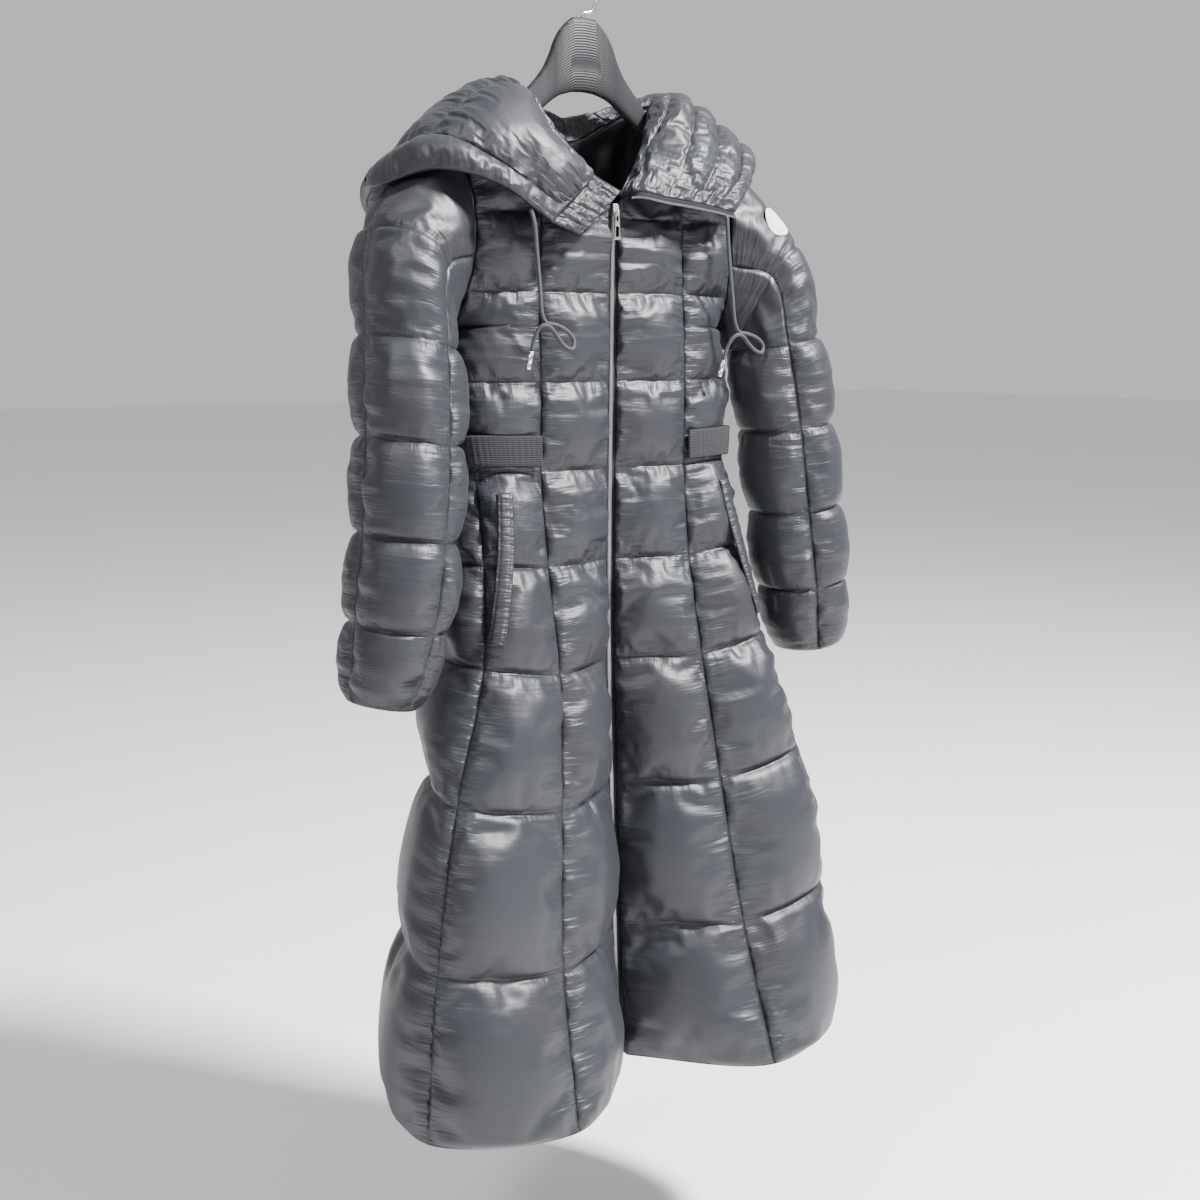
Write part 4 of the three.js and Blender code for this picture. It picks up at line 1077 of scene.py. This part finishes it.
def route_through(places, spacing):
    places = np.array(places, float)
    rough = through(places, np.linspace(0, len(places) - 1, 40 * len(places)))
    length = np.concatenate([[0], np.cumsum(np.linalg.norm(np.diff(rough, axis=0), axis=1))])
    stations = np.linspace(0, length[-1], int(length[-1] / spacing) + 1)
    return np.stack([np.interp(stations, length, rough[:, k]) for k in range(3)], 1), length[-1]


def turned_faces(rings, sides):
    """Faces over a first point, rings of points and a last point."""
    faces = []
    last = 1 + (rings - 1) * sides
    for s in range(sides):
        after = (s + 1) % sides
        faces.append((0, 1 + after, 1 + s))
        faces.append((last + sides, last + s, last + after))
        for k in range(rings - 1):
            a, b = 1 + k * sides + s, 1 + k * sides + after
            faces.append((a, b, b + sides, a + sides))
    return faces


# radius and distance from the cord's end
CORD_TIP = [
    (0, 0.4), (2.6, 0.4), (3.1, 0.9), (3.1, 3), (2.7, 3.5), (2.7, 4.5), (3.2, 5), (3.3, 14),
    (3.0, 14.6), (3.0, 15.4), (3.4, 16), (3.4, 21), (3.0, 22.2), (0, 22.4),
]
TIP_SIDES = 20


def cord_tip(name, end, along, material):
    """A ribbed metal end on a drawcord."""
    side = np.cross(along, [0.0, 1.0, 0.0])
    side /= np.linalg.norm(side)
    other = np.cross(along, side)
    points = [end + along * CORD_TIP[0][1]]
    for radius, z in CORD_TIP[1:-1]:
        for a in np.linspace(0, 2 * np.pi, TIP_SIDES, endpoint=False):
            points.append(end + along * z + radius * (math.cos(a) * side + math.sin(a) * other))
    points.append(end + along * CORD_TIP[-1][1])
    faces = turned_faces(len(CORD_TIP) - 2, TIP_SIDES)
    return new_piece(name, points, outward(points, faces), [material])


def outward(points, faces):
    """The faces, turned round if they face inwards."""
    points = np.asarray(points, float)
    return [f[::-1] for f in faces] if closed_volume(points - points.mean(0), faces) < 0 else faces


def drawcord(hand, places, cord_finish, tip_finish):
    route, length = route_through(places, 2.5)
    cord = tube(f"cord_{hand}", route, CORD_DIAMETER / 2, 12, cord_finish)
    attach(cord, "coat")
    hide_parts(f"drawcord_{hand}")
    along = unit(np.array(places[-1], float) - np.array(places[-2], float))
    tip = cord_tip(f"tip_{hand}", route[-1], along, tip_finish)
    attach(tip, "coat")
    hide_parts(f"cord_tip_{hand}")
    path = [tuple(p) for p in route * MM]
    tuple(path[0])


def repeat_along(name, routes, shape, spacing, material, follow=True):
    """A small shape repeated along routes by Geometry Nodes: teeth, stitches."""
    curve = bpy.data.curves.new(name + "_routes", "CURVE")
    curve.dimensions = "3D"
    for route in routes:
        spline = curve.splines.new("POLY")
        spline.points.add(len(route) - 1)
        flat = np.concatenate([np.asarray(route, float) * MM, np.ones((len(route), 1))], 1)
        spline.points.foreach_set("co", flat.ravel())
    carrier = bpy.data.objects.new(name + "_routes", curve)
    bpy.context.scene.collection.objects.link(carrier)
    tree = bpy.data.node_groups.new(name + "_repeat", "GeometryNodeTree")
    face = tree.interface
    face.new_socket("Geometry", in_out="INPUT", socket_type="NodeSocketGeometry")
    gap = face.new_socket("Spacing", in_out="INPUT", socket_type="NodeSocketFloat")
    face.new_socket("Geometry", in_out="OUTPUT", socket_type="NodeSocketGeometry")
    nodes, links = tree.nodes, tree.links
    start = nodes.new("NodeGroupInput")
    end = nodes.new("NodeGroupOutput")
    spread = nodes.new("GeometryNodeCurveToPoints")
    spread.mode = "LENGTH"
    single = nodes.new("GeometryNodeObjectInfo")
    single.inputs["Object"].default_value = shape
    place = nodes.new("GeometryNodeInstanceOnPoints")
    real = nodes.new("GeometryNodeRealizeInstances")
    paint = nodes.new("GeometryNodeSetMaterial")
    paint.inputs["Material"].default_value = material
    links.new(start.outputs["Geometry"], spread.inputs["Curve"])
    links.new(start.outputs["Spacing"], spread.inputs["Length"])
    links.new(spread.outputs["Points"], place.inputs["Points"])
    if follow:
        links.new(spread.outputs["Rotation"], place.inputs["Rotation"])
    links.new(single.outputs["Geometry"], place.inputs["Instance"])
    links.new(place.outputs["Instances"], real.inputs["Geometry"])
    links.new(real.outputs["Geometry"], paint.inputs["Geometry"])
    links.new(paint.outputs["Geometry"], end.inputs["Geometry"])
    modifier = carrier.modifiers.new("Repeat", "NODES")
    modifier.node_group = tree
    modifier[gap.identifier] = spacing * MM
    drawn = carrier.evaluated_get(bpy.context.evaluated_depsgraph_get())
    mesh = bpy.data.meshes.new_from_object(drawn)
    mesh.name = name
    piece = bpy.data.objects.new(name, mesh)
    bpy.context.scene.collection.objects.link(piece)
    bpy.data.objects.remove(carrier)
    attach(piece, "coat")
    return piece


# The trims on the coat
def waistband(finish):
    """A thin elastic band with small gathers, from one front princess seam round to the other."""
    places = np.linspace(BAND_START, 4, 150)
    sides = np.concatenate([np.full(len(places), -1), np.full(len(places) - 1, 1)])
    places = np.concatenate([places, places[-2::-1]])
    heights = np.linspace(BAND_HEIGHT / 2, -BAND_HEIGHT / 2, 13)
    over, under = LEVEL[BAND_ROW - 1, 0], LEVEL[BAND_ROW, 0]
    outer, inner = [], []
    for up in heights:
        v = BAND_ROW + (over - (BAND_Z + up)) / (over - under)
        line = np.zeros((len(places), 3))
        out = np.zeros((len(places), 3))
        for side in (-1, 1):
            for in_back in (False, True):
                chosen = (sides == side) & ((places > 2) == in_back)
                u = places[chosen]
                line[chosen] = BODY[side].at(u, np.full(len(u), v), in_back)
                out[chosen] = BODY[side].normal(u, np.full(len(u), v), in_back)
        turn = np.arange(len(places))
        bow = 1 - (up / (BAND_HEIGHT / 2)) ** 2
        ripple = 0.45 * np.sin(turn * 1.9 + 2 * np.sin(turn * 0.23)) * (0.4 + 0.6 * bow)
        outer.append(line + out * (BAND_STAND + BAND_THICK + 0.8 * bow + ripple)[:, None])
        inner.append(line + out * (BAND_STAND + ripple * 0.5)[:, None])
    outer, inner = np.array(outer), np.array(inner)
    band = wall("waistband_elastic", outer, inner, [finish], cloth_uv(outer))
    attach(band, "coat")
    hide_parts("waistband")
    length = np.linalg.norm(np.diff(outer[6], axis=0), axis=1).sum() * MM
    return outer


def welt_line(side, share_across, lift, steps):
    """A line down the pocket's welt, at a share across it and a lift over the cloth."""
    v = np.linspace(WELT_TOP, WELT_BOTTOM, steps)
    u = welt_place(v)[1] - WELT_WIDTH * (1 - share_across)
    n = BODY[side].normal(u, v)
    return BODY[side].at(u, v) + n * (welt_rise(u, v) + WELT_CLEAR + lift)[:, None]


def pocket_welt(side, hand, finish):
    """A soft folded welt with a row of stitches near each edge."""
    shares = np.linspace(0, 1, 17)
    steps = 72
    body = 0.35 + 0.65 * (np.sin(np.pi * shares) ** 0.5)
    stitched = 0.45 * sum(np.exp(-((shares - sewn) / 0.05) ** 2) for sewn in WELT_SEWN)
    ends = np.clip(np.minimum(np.linspace(0, 1, steps), np.linspace(1, 0, steps)) / 0.03, 0.35, 1)
    wave = 0.18 * np.sin(np.arange(steps) * 0.8 + side) + 0.12 * np.sin(np.arange(steps) * 1.7)
    outer = np.stack([
        welt_line(side, s, WELT_THICK * (body[k] - stitched[k]) * ends + wave * body[k] * 0.6, steps)
        for k, s in enumerate(shares)], 1)
    inner = np.stack([welt_line(side, s, 0, steps) for s in shares], 1)
    spacing = np.minimum(shares, 1 - shares) * 26
    fields = {"to_side": np.tile(spacing, (steps, 1)), "to_row": np.full((steps, len(shares)), 30.0)}
    welt = wall(f"pocket_edge_{hand}", outer, inner, [finish], cloth_uv(outer), fields)
    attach(welt, "coat")
    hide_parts(f"pocket_welt_{hand}")
    return [welt_line(side, s, WELT_THICK * 0.42, steps) for s in WELT_SEWN]


def zip_line(x, drop, steps=240):
    v = np.linspace(0, ZIP_END, steps)
    p = ring_at(v)["zip"]
    return np.stack([np.full(steps, float(x)), p[:, 1] + drop, p[:, 2]], 1)


def zip_tape(side, hand, finish):
    places = [0.35, 1.6, 3.0, 4.5, 6.2, 7.7]
    rises = [-0.5, -0.6, -0.75, -0.65, -0.6, -0.55]
    outer = np.stack([zip_line(side * x, y) for x, y in zip(places, rises)], 1)
    inner = np.stack([zip_line(side * x, 0.6, 60) for x in (places[0], places[-1])], 1)
    tape = wall(f"tape_{hand}", outer, inner, [finish], cloth_uv(outer))
    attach(tape, "coat")
    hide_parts(f"zip_tape_{hand}")


def hood_zip_line(drop, rise, steps=90):
    q = np.linspace(0.7, 4.95, steps)
    p = hood_at(np.full(steps, 12.0), q)
    return np.stack([p[:, 0], p[:, 1] - rise, p[:, 2] - drop], 1)


def hood_tape(finish):
    drops = [0.6, 2.0, 3.6, 5.4, 7.2]
    outer = np.stack([hood_zip_line(d, 0.65) for d in drops], 1)
    inner = np.stack([hood_zip_line(d, -0.6, 30) for d in (drops[0], drops[-1])], 1)
    tape = wall("hood_tape", outer, inner, [finish], cloth_uv(outer))
    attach(tape, "coat")
    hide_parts("hood_zip_tape")


def small_block(name, size, middle=(0, 0, 0), waist=0.8):
    """A tooth: a bar with a narrower waist and rounded ends, in millimetres."""
    x, y, z = (s / 2 for s in size)
    outline = [(-x, -0.7 * z), (-0.75 * x, -z), (0.2 * x, -z * waist), (0.6 * x, -z), (x, -0.6 * z),
               (x, 0.6 * z), (0.6 * x, z), (0.2 * x, z * waist), (-0.75 * x, z), (-x, 0.7 * z)]
    points, faces = [], []
    levels = [(-y, 0.75), (-y * 0.6, 1.0), (y * 0.6, 1.0), (y, 0.85)]
    for depth, share in levels:
        points += [(a * share + middle[0], depth + middle[1], b * share + middle[2]) for a, b in outline]
    n = len(outline)
    for k in range(len(levels) - 1):
        for s in range(n):
            a, b = k * n + s, k * n + (s + 1) % n
            faces.append((a, b, b + n, a + n))
    faces.append(tuple(range(n))[::-1])
    faces.append(tuple(range((len(levels) - 1) * n, len(levels) * n)))
    return new_piece(name, points, outward(points, faces), [], smooth=False)


def stitch_shape(length, radius):
    """One stitch lying along Z."""
    points = [(0, 0, -length / 2)]
    sides = 6
    rings = ((-0.36, 0.75), (0.0, 1.0), (0.36, 0.75))
    for z, share in rings:
        for s in range(sides):
            a = 2 * math.pi * s / sides
            points.append((radius * share * math.cos(a), radius * share * math.sin(a), z * length))
    points.append((0, 0, length / 2))
    return new_piece("one_stitch", points, outward(points, turned_faces(len(rings), sides)), [])


def lifted(surface, row=None, column=None, out=0.25):
    """A line of the settled cloth, raised a little, for stitches to lie on."""
    points = surface["cloth"] + surface["normal"] * out
    return points[row] if row is not None else points[:, column]


# Flat metal parts and the badge
def rounded(outline, radius, turns=4):
    """An outline in the plane with its corners rounded."""
    out = []
    count = len(outline)
    for k in range(count):
        before, here, after = (np.array(outline[(k + d) % count], float) for d in (-1, 0, 1))
        reach_in = min(radius, np.linalg.norm(before - here) * 0.45)
        reach_out = min(radius, np.linalg.norm(after - here) * 0.45)
        start = here + (before - here) / np.linalg.norm(before - here) * reach_in
        end = here + (after - here) / np.linalg.norm(after - here) * reach_out
        for t in np.linspace(0, 1, turns):
            out.append((1 - t) ** 2 * start + 2 * t * (1 - t) * here + t ** 2 * end)
    return out


def bevelled_plate(outline, holes, low, high, bevel, upright):
    """Points in millimetres and faces of a flat plate with soft edges, standing in the XZ or YZ plane."""
    curve = bpy.data.curves.new("flat_plate", "CURVE")
    curve.dimensions = "2D"
    curve.fill_mode = "BOTH"
    curve.extrude = ((high - low) / 2 - bevel) * MM
    curve.bevel_depth = bevel * MM
    curve.bevel_resolution = 2
    curve.offset = -bevel * MM
    for ring in [outline, *holes]:
        spline = curve.splines.new("POLY")
        spline.points.add(len(ring) - 1)
        for point, (a, b) in zip(spline.points, ring):
            point.co = (a * MM, b * MM, 0, 1)
        spline.use_cyclic_u = True
    carrier = bpy.data.objects.new("flat_plate", curve)
    bpy.context.scene.collection.objects.link(carrier)
    mesh = bpy.data.meshes.new_from_object(carrier.evaluated_get(bpy.context.evaluated_depsgraph_get()))
    flat = bmesh.new()
    flat.from_mesh(mesh)
    bmesh.ops.remove_doubles(flat, verts=flat.verts, dist=1e-6)
    middle = (low + high) / 2
    points = []
    for vert in flat.verts:
        a, b, depth = (c / MM for c in vert.co)
        points.append((a, middle + depth, b) if upright == "XZ" else (middle + depth, a, b))
    faces = [tuple(v.index for v in face.verts) for face in flat.faces]
    flat.free()
    bpy.data.objects.remove(carrier)
    bpy.data.meshes.remove(mesh)
    return points, outward(points, faces)


def joined(*parts):
    points, faces = [], []
    for more_points, more_faces in parts:
        faces += [tuple(k + len(points) for k in face) for face in more_faces]
        points += list(more_points)
    return points, faces


def metal_piece(name, parts, node, body, finish):
    piece = new_piece(name, *joined(*parts), [finish], smooth=False)
    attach(piece, body)
    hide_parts(node)
    return piece


def slider(finish):
    z = PULL_Z
    body = [(-4.6, z + 9), (-3, z - 3), (3, z - 3), (4.6, z + 9), (2.4, z + 12), (-2.4, z + 12)]
    plate = bevelled_plate(rounded(body, 1.6), [], SLIDER_FRONT, SLIDER_FRONT + 2.6, 0.5, "XZ")
    y, mid = PULL_AXIS
    outer = [(y - 3, mid - 3), (SLIDER_FRONT + 1, mid - 3), (SLIDER_FRONT + 1, mid + 3), (y - 3, mid + 3)]
    inner = [(y - 2, mid - 2), (SLIDER_FRONT, mid - 2), (SLIDER_FRONT, mid + 2), (y - 2, mid + 2)]
    arch = bevelled_plate(rounded(outer, 1.4), [rounded(inner, 0.8)], -1.1, 1.1, 0.3, "YZ")
    metal_piece("slider", [plate, arch], "zip_slider", "coat", finish)


def pull(finish):
    top = PULL_Z + 3
    low = top - 34
    w = 4.5
    outline = [(-w, low), (w, low), (w, low + 4), (w * 0.6, top), (-w * 0.6, top), (-w, low + 4)]
    eye = [(-1.62, top - 12), (1.62, top - 12), (1.62, top - 2.6), (-1.62, top - 2.6)]
    window = [(-2.475, low + 3), (2.475, low + 3), (2.475, low + 16), (-2.475, low + 16)]
    front = PULL_AXIS[0] - 0.9
    plate = bevelled_plate(rounded(outline, 1.2), [rounded(eye, 0.5), rounded(window, 0.9)],
                           front, front + 1.8, 0.4, "XZ")
    metal_piece("pull", [plate], "zip_pull", "pull", finish)


def badge_rise(angle, w):
    """How far the badge lies over the sleeve's form, on the puff of the cap."""
    across = np.clip((angle - SLEEVE_FRONT) / (SLEEVE_OUTER - SLEEVE_FRONT), 0, 1)
    pillow = (16 * across * (1 - across) * np.clip(w * (1 - w), 0.001, 1)) ** PUFF_SHARPNESS
    return SEAM + 0.4 + SLEEVE[0, 6] * CAP_SHARE["front"] * pillow


def under_badge(surface, first, last):
    angle = first + (last - first) * surface["u"]
    x = (angle - BADGE_ANGLE) / BADGE_TURN
    y = (surface["v"] - BADGE_ROW) / BADGE_DROP
    return np.where(x * x + y * y < 1.3, badge_rise(angle, surface["v"]) - 0.35, NO_LIMIT)


def sleeve_badge(finish):
    """A plain round badge with a raised rim, sewn on the left sleeve."""
    rings, turns = 12, 72
    share = np.linspace(0, 1, rings + 1)[1:]
    turn = np.linspace(0, 2 * np.pi, turns, endpoint=False)
    radius, angle = np.meshgrid(share, turn, indexing="ij")
    a, b = (radius * np.cos(angle)).ravel(), (radius * np.sin(angle)).ravel()
    a, b = np.append(a, 0.0), np.append(b, 0.0)
    around = BADGE_ANGLE + a * BADGE_TURN
    w = BADGE_ROW + b * BADGE_DROP
    base = half_sleeve(around, w)
    n = unit(np.cross(half_sleeve(around + 4, w) - half_sleeve(around - 4, w),
                      half_sleeve(around, w + 0.04) - half_sleeve(around, w - 0.04)))
    n = np.where((n[:, 1] > 0)[:, None], -n, n)
    from_middle = np.sqrt(a * a + b * b)
    edge = np.clip((1 - from_middle) / 0.05, 0, 1) ** 0.5
    rim = 0.45 * np.exp(-((from_middle - 0.93) / 0.06) ** 2)
    top = base + n * (badge_rise(around, w) + 0.4 + 0.8 * edge + rim)[:, None]
    bottom = base + n * badge_rise(around, w)[:, None]
    count = rings * turns
    faces = []
    for offset, flip in ((0, False), (count + 1, True)):
        for s in range(turns):
            after = (s + 1) % turns
            ring_faces = [(offset + count, offset + s, offset + after)]
            for k in range(rings - 1):
                c, d = offset + k * turns + s, offset + k * turns + after
                ring_faces.append((c, c + turns, d + turns, d))
            faces += [f[::-1] for f in ring_faces] if flip else ring_faces
    for s in range(turns):
        c, d = (rings - 1) * turns + s, (rings - 1) * turns + (s + 1) % turns
        faces.append((c, c + count + 1, d + count + 1, d))
    points = np.concatenate([top, bottom])
    uv = np.tile(np.stack([a, b], 1), (2, 1))
    badge = new_piece("badge", points, outward(points, faces), [finish], uv)
    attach(badge, "coat")
    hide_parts("sleeve_badge")


# The hanger
def hanger(finish):
    """A moulded hanger with rounded arms and a shallow bare plate at its middle."""
    arm = np.array(HANGER, float)
    xs = np.concatenate([np.linspace(-186, -26, 96), np.linspace(-25, 25, 61), np.linspace(26, 186, 96)])
    top, bottom, half = (np.interp(np.abs(xs), arm[:, 0], arm[:, k]) for k in (1, 2, 3))
    soft = np.array([0.25, 0.5, 0.25])
    top, bottom, half = (np.convolve(np.pad(k, 1, mode="edge"), soft, "valid") for k in (top, bottom, half))
    sides = 44
    turn = np.linspace(0, 2 * np.pi, sides, endpoint=False)
    across = np.sign(np.cos(turn)) * np.abs(np.cos(turn)) ** 0.55
    up = np.sign(np.sin(turn)) * np.abs(np.sin(turn)) ** 0.75
    y = -half[:, None] * across[None, :]
    z = (top + bottom)[:, None] / 2 + (top - bottom)[:, None] / 2 * up[None, :]
    x = np.repeat(xs[:, None], sides, 1)
    in_plate = np.clip((PLATE_WIDTH / 2 - np.abs(x)) / 1.2, 0, 1)
    in_plate = in_plate * np.clip((PLATE_HEIGHT / 2 - np.abs(z - PLATE_Z)) / 1.2, 0, 1) * (y < 0)
    y = y + PLATE_DEPTH * in_plate
    points = np.stack([x, y, z], -1).reshape(-1, 3)
    points = np.concatenate([points, [[xs[0] - 1, 0, (top[0] + bottom[0]) / 2]],
                             [[xs[-1] + 1, 0, (top[-1] + bottom[-1]) / 2]]])
    index = np.arange(len(xs) * sides).reshape(len(xs), sides)
    index = np.concatenate([index, index[:, :1]], 1)
    faces = [tuple(f) for f in grid_quads(index)]
    for s in range(sides):
        faces.append((len(points) - 2, index[0, s + 1], index[0, s]))
        faces.append((len(points) - 1, index[-1, s], index[-1, s + 1]))
    along = np.concatenate([[0], np.cumsum(np.hypot(np.diff(xs), np.diff((top + bottom) / 2)))]) * MM
    over = (z - (top + bottom)[:, None] / 2) * MM
    uv = np.stack([np.repeat(along[:, None], sides, 1), over], -1).reshape(-1, 2)
    uv = np.concatenate([uv, [[0, 0], [along[-1], 0]]])
    plate = np.append(in_plate.ravel(), [0, 0])
    body = new_piece("hanger_body", points, outward(points, faces), [finish], uv, {"plate": plate})
    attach(body, "coat")
    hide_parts("hanger")


def hook(finish):
    r = HOOK_INSIDE + HOOK_ROD
    places = [(0, 0, HOOK_FOOT), (0, 0, HOOK_FOOT + 4), (r * 0.55, 0, -HOOK_INSIDE - r * 0.95)]
    for degrees in range(-30, 201, 23):
        t = math.radians(degrees)
        places.append((r * math.cos(t), 0, -HOOK_INSIDE + r * math.sin(t)))
    route, _ = route_through(places, 1.5)
    radii = np.full(len(route), HOOK_ROD)
    radii[-3:] = HOOK_ROD * np.array([0.96, 0.8, 0.45])
    piece = tube("hook_rod", route, radii, 24, finish)
    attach(piece, "coat")
    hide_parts("hanger_hook")


# The whole coat: colour, sheen, strength of the gathers and roughness of each cloth
NYLON = ((0.0165, 0.018, 0.0215), 0.02, 1.35, 0.45)
CASING = ((0.018, 0.0195, 0.023), 0.02, 1.35, 0.45)
LINING = ((0.012, 0.013, 0.015), 0.15, 0.3, 0.5)


def make_coat():
    nylon = quilted_nylon("charcoal nylon", *NYLON)
    brim_nylon = quilted_nylon("charcoal nylon casing", *CASING)
    lining = quilted_nylon("black lining", *LINING)
    tape, metal = woven_tape(), polished_metal("nickel", (0.74, 0.74, 0.75), 0.36, 0.4)
    bright = polished_metal("bright nickel", (0.84, 0.84, 0.85), 0.24, 0.3)
    steel = polished_metal("hook steel", (0.55, 0.56, 0.57), 0.22, 0.5)
    cord, sewing = braided_cord(), thread()
    beds = {}
    for side, hand in SIDES:
        for start, name in enumerate(("front_{}_centre", "front_{}_side", "back_{}_side", "back_{}_centre")):
            beds[name.format(hand)] = body_bed(side, start)
        for part in ("front", "back", "under"):
            beds[f"sleeve_{hand}_{part}"] = sleeve_bed(side, part)
    beds["sleeve_left_front"]["limit"] = under_badge(beds["sleeve_left_front"], SLEEVE_FRONT, SLEEVE_OUTER)
    rows = list(range(5))
    beds["hood_right"] = hood_bed(0, 5, 0, 4, 11, [0, 2.2, 5], [0, 1, 4], 20, 18)
    beds["hood_centre"] = hood_bed(5, 7, 0, 4, HOOD_PUFF, [5, 6, 7], rows, 22, 18)
    beds["hood_left"] = hood_bed(7, 12, 0, 4, HOOD_PUFF, [7, 12], rows, 20, 18)
    beds["hood_brim_right"] = hood_bed(0, 5, 4, 5, BRIM_PUFF, [0, 5], [4, 5], 24, BRIM_COLUMNS)
    beds["hood_brim_centre"] = hood_bed(5, 7, 4, 5, BRIM_PUFF, [5, 7], [4, 5], 24, BRIM_COLUMNS)
    beds["hood_brim_left"] = hood_bed(7, 12, 4, 5, BRIM_PUFF, [7, 12], [4, 5], 24, BRIM_COLUMNS)
    beds["hood_tab"] = tab_bed()
    fill_with_down(list(beds.values()))
    for name, surface in beds.items():
        under = None
        if name.startswith("hood") and name != "hood_tab":
            bag = bag_share(surface["u"])
            far = np.clip((surface["v"] - 2.2) / 0.6, 0, 1)
            under = surface["rise"] * (0.2 + 0.2 * bag + 0.6 * bag * far)
        finish = brim_nylon if "brim" in name or name == "hood_tab" else nylon
        padded_piece(surface, name + "_cloth", [name], [finish, lining if under is None else finish], under)
    waistband(ribbed_elastic())
    welts = []
    for side, hand in SIDES:
        welts += pocket_welt(side, hand, nylon)
        zip_tape(side, hand, tape)
    hood_tape(tape)
    slider(metal)
    pull(bright)
    sleeve_badge(badge_weave())
    hanger(grooved_plastic())
    hook(steel)
    drawcord("right", CORD_RIGHT, cord, bright)
    drawcord("left", CORD_LEFT, cord, bright)
    teeth(metal, bright)
    stitches(beds, welts, sewing)


# across, deep and tall, and how far each row stands from the middle of the zip
TOOTH, HOOD_TOOTH, TOOTH_OUT = (3.0, 2.2, 1.25), (1.25, 2.2, 3.0), 1.2


def teeth(metal, bright):
    block = small_block("one_tooth", TOOTH)
    front = zip_line(0, -1.1)
    for side, hand in SIDES:
        drop = TOOTH_PITCH / 2 if side > 0 else 0
        route = front + (TOOTH_OUT * side, 0, -drop)
        row = repeat_along(f"teeth_{hand}", [route], block, TOOTH_PITCH, metal, follow=False)
    tall = small_block("one_hood_tooth", HOOD_TOOTH)
    row = repeat_along("teeth_hood", [hood_zip_line(6.8, 1.0)], tall, TOOTH_PITCH, bright, follow=False)
    for used in (block, tall):
        bpy.data.objects.remove(used)


STITCH_LENGTH, STITCH_RADIUS, STITCH_PITCH = 2.6, 0.26, 3.3


def stitches(beds, welts, finish):
    single = stitch_shape(STITCH_LENGTH, STITCH_RADIUS)
    groups = {"stitches_tab": [], "stitches_brim": [], "stitches_front": [], "stitches_cuffs": []}
    tab = beds["hood_tab"]
    groups["stitches_tab"] = [lifted(tab, row=k) for k in tab["v_sharp"]]
    groups["stitches_tab"] += [lifted(tab, column=k) for k in (1, tab["cloth"].shape[1] - 2)]
    for name in ("right", "centre", "left"):
        groups["stitches_brim"].append(lifted(beds[f"hood_{name}"], row=-1, out=0.4))
    for hand in ("right", "left"):
        front = beds[f"front_{hand}_centre"]
        groups["stitches_front"].append(lifted(front, column=1, out=0.3))
        groups["stitches_front"] += [lifted(front, row=k) for k in front["v_sharp"]]
        side = beds[f"front_{hand}_side"]
        groups["stitches_front"] += [lifted(side, row=k) for k in side["v_sharp"]]
        for part in ("front", "back", "under"):
            sleeve = beds[f"sleeve_{hand}_{part}"]
            groups["stitches_cuffs"].append(lifted(sleeve, row=-2))
    groups["stitches_welts"] = welts
    for name, routes in groups.items():
        row = repeat_along(name, routes, single, STITCH_PITCH, finish)
    bpy.data.objects.remove(single)


# The studio
FLOOR_REACH, FLOOR_HEIGHT = 30.0, -1.75
AIR_COLOUR, AIR_STRENGTH = (0.97, 0.98, 1.0, 1), 0.65
# place, what it is aimed at, size and power
LIGHTS = {
    "key": ((1.5, -2.2, 2.6), (0, 0, -0.7), 0.6, 950),
    "side": ((-2.4, -1.0, 1.8), (0, 0, -0.8), 0.8, 55),
}


def studio():
    mesh = bpy.data.meshes.new("floor")
    corners = [(x * FLOOR_REACH, y * FLOOR_REACH, FLOOR_HEIGHT) for x, y in ((-1, -1), (1, -1), (1, 1), (-1, 1))]
    mesh.from_pydata(corners, [], [(0, 1, 2, 3)])
    mesh.materials.append(studio_floor())
    floor = bpy.data.objects.new("floor", mesh)
    bpy.context.scene.collection.objects.link(floor)
    world = bpy.data.worlds.new("studio")
    world.use_nodes = True
    background = next(n for n in world.node_tree.nodes if n.type == "BACKGROUND")
    background.inputs["Color"].default_value = AIR_COLOUR
    background.inputs["Strength"].default_value = AIR_STRENGTH
    bpy.context.scene.world = world
    for name, setup in LIGHTS.items():
        area_light(name, *setup)


def area_light(name, place, target, size, power):
    data = bpy.data.lights.new(name, "AREA")
    data.energy = power
    data.size = size
    light = bpy.data.objects.new(name, data)
    bpy.context.scene.collection.objects.link(light)
    light.location = place
    aim = Vector(target) - Vector(place)
    light.rotation_euler = aim.to_track_quat("-Z", "Y").to_euler()


make_camera()
make_coat()
studio()
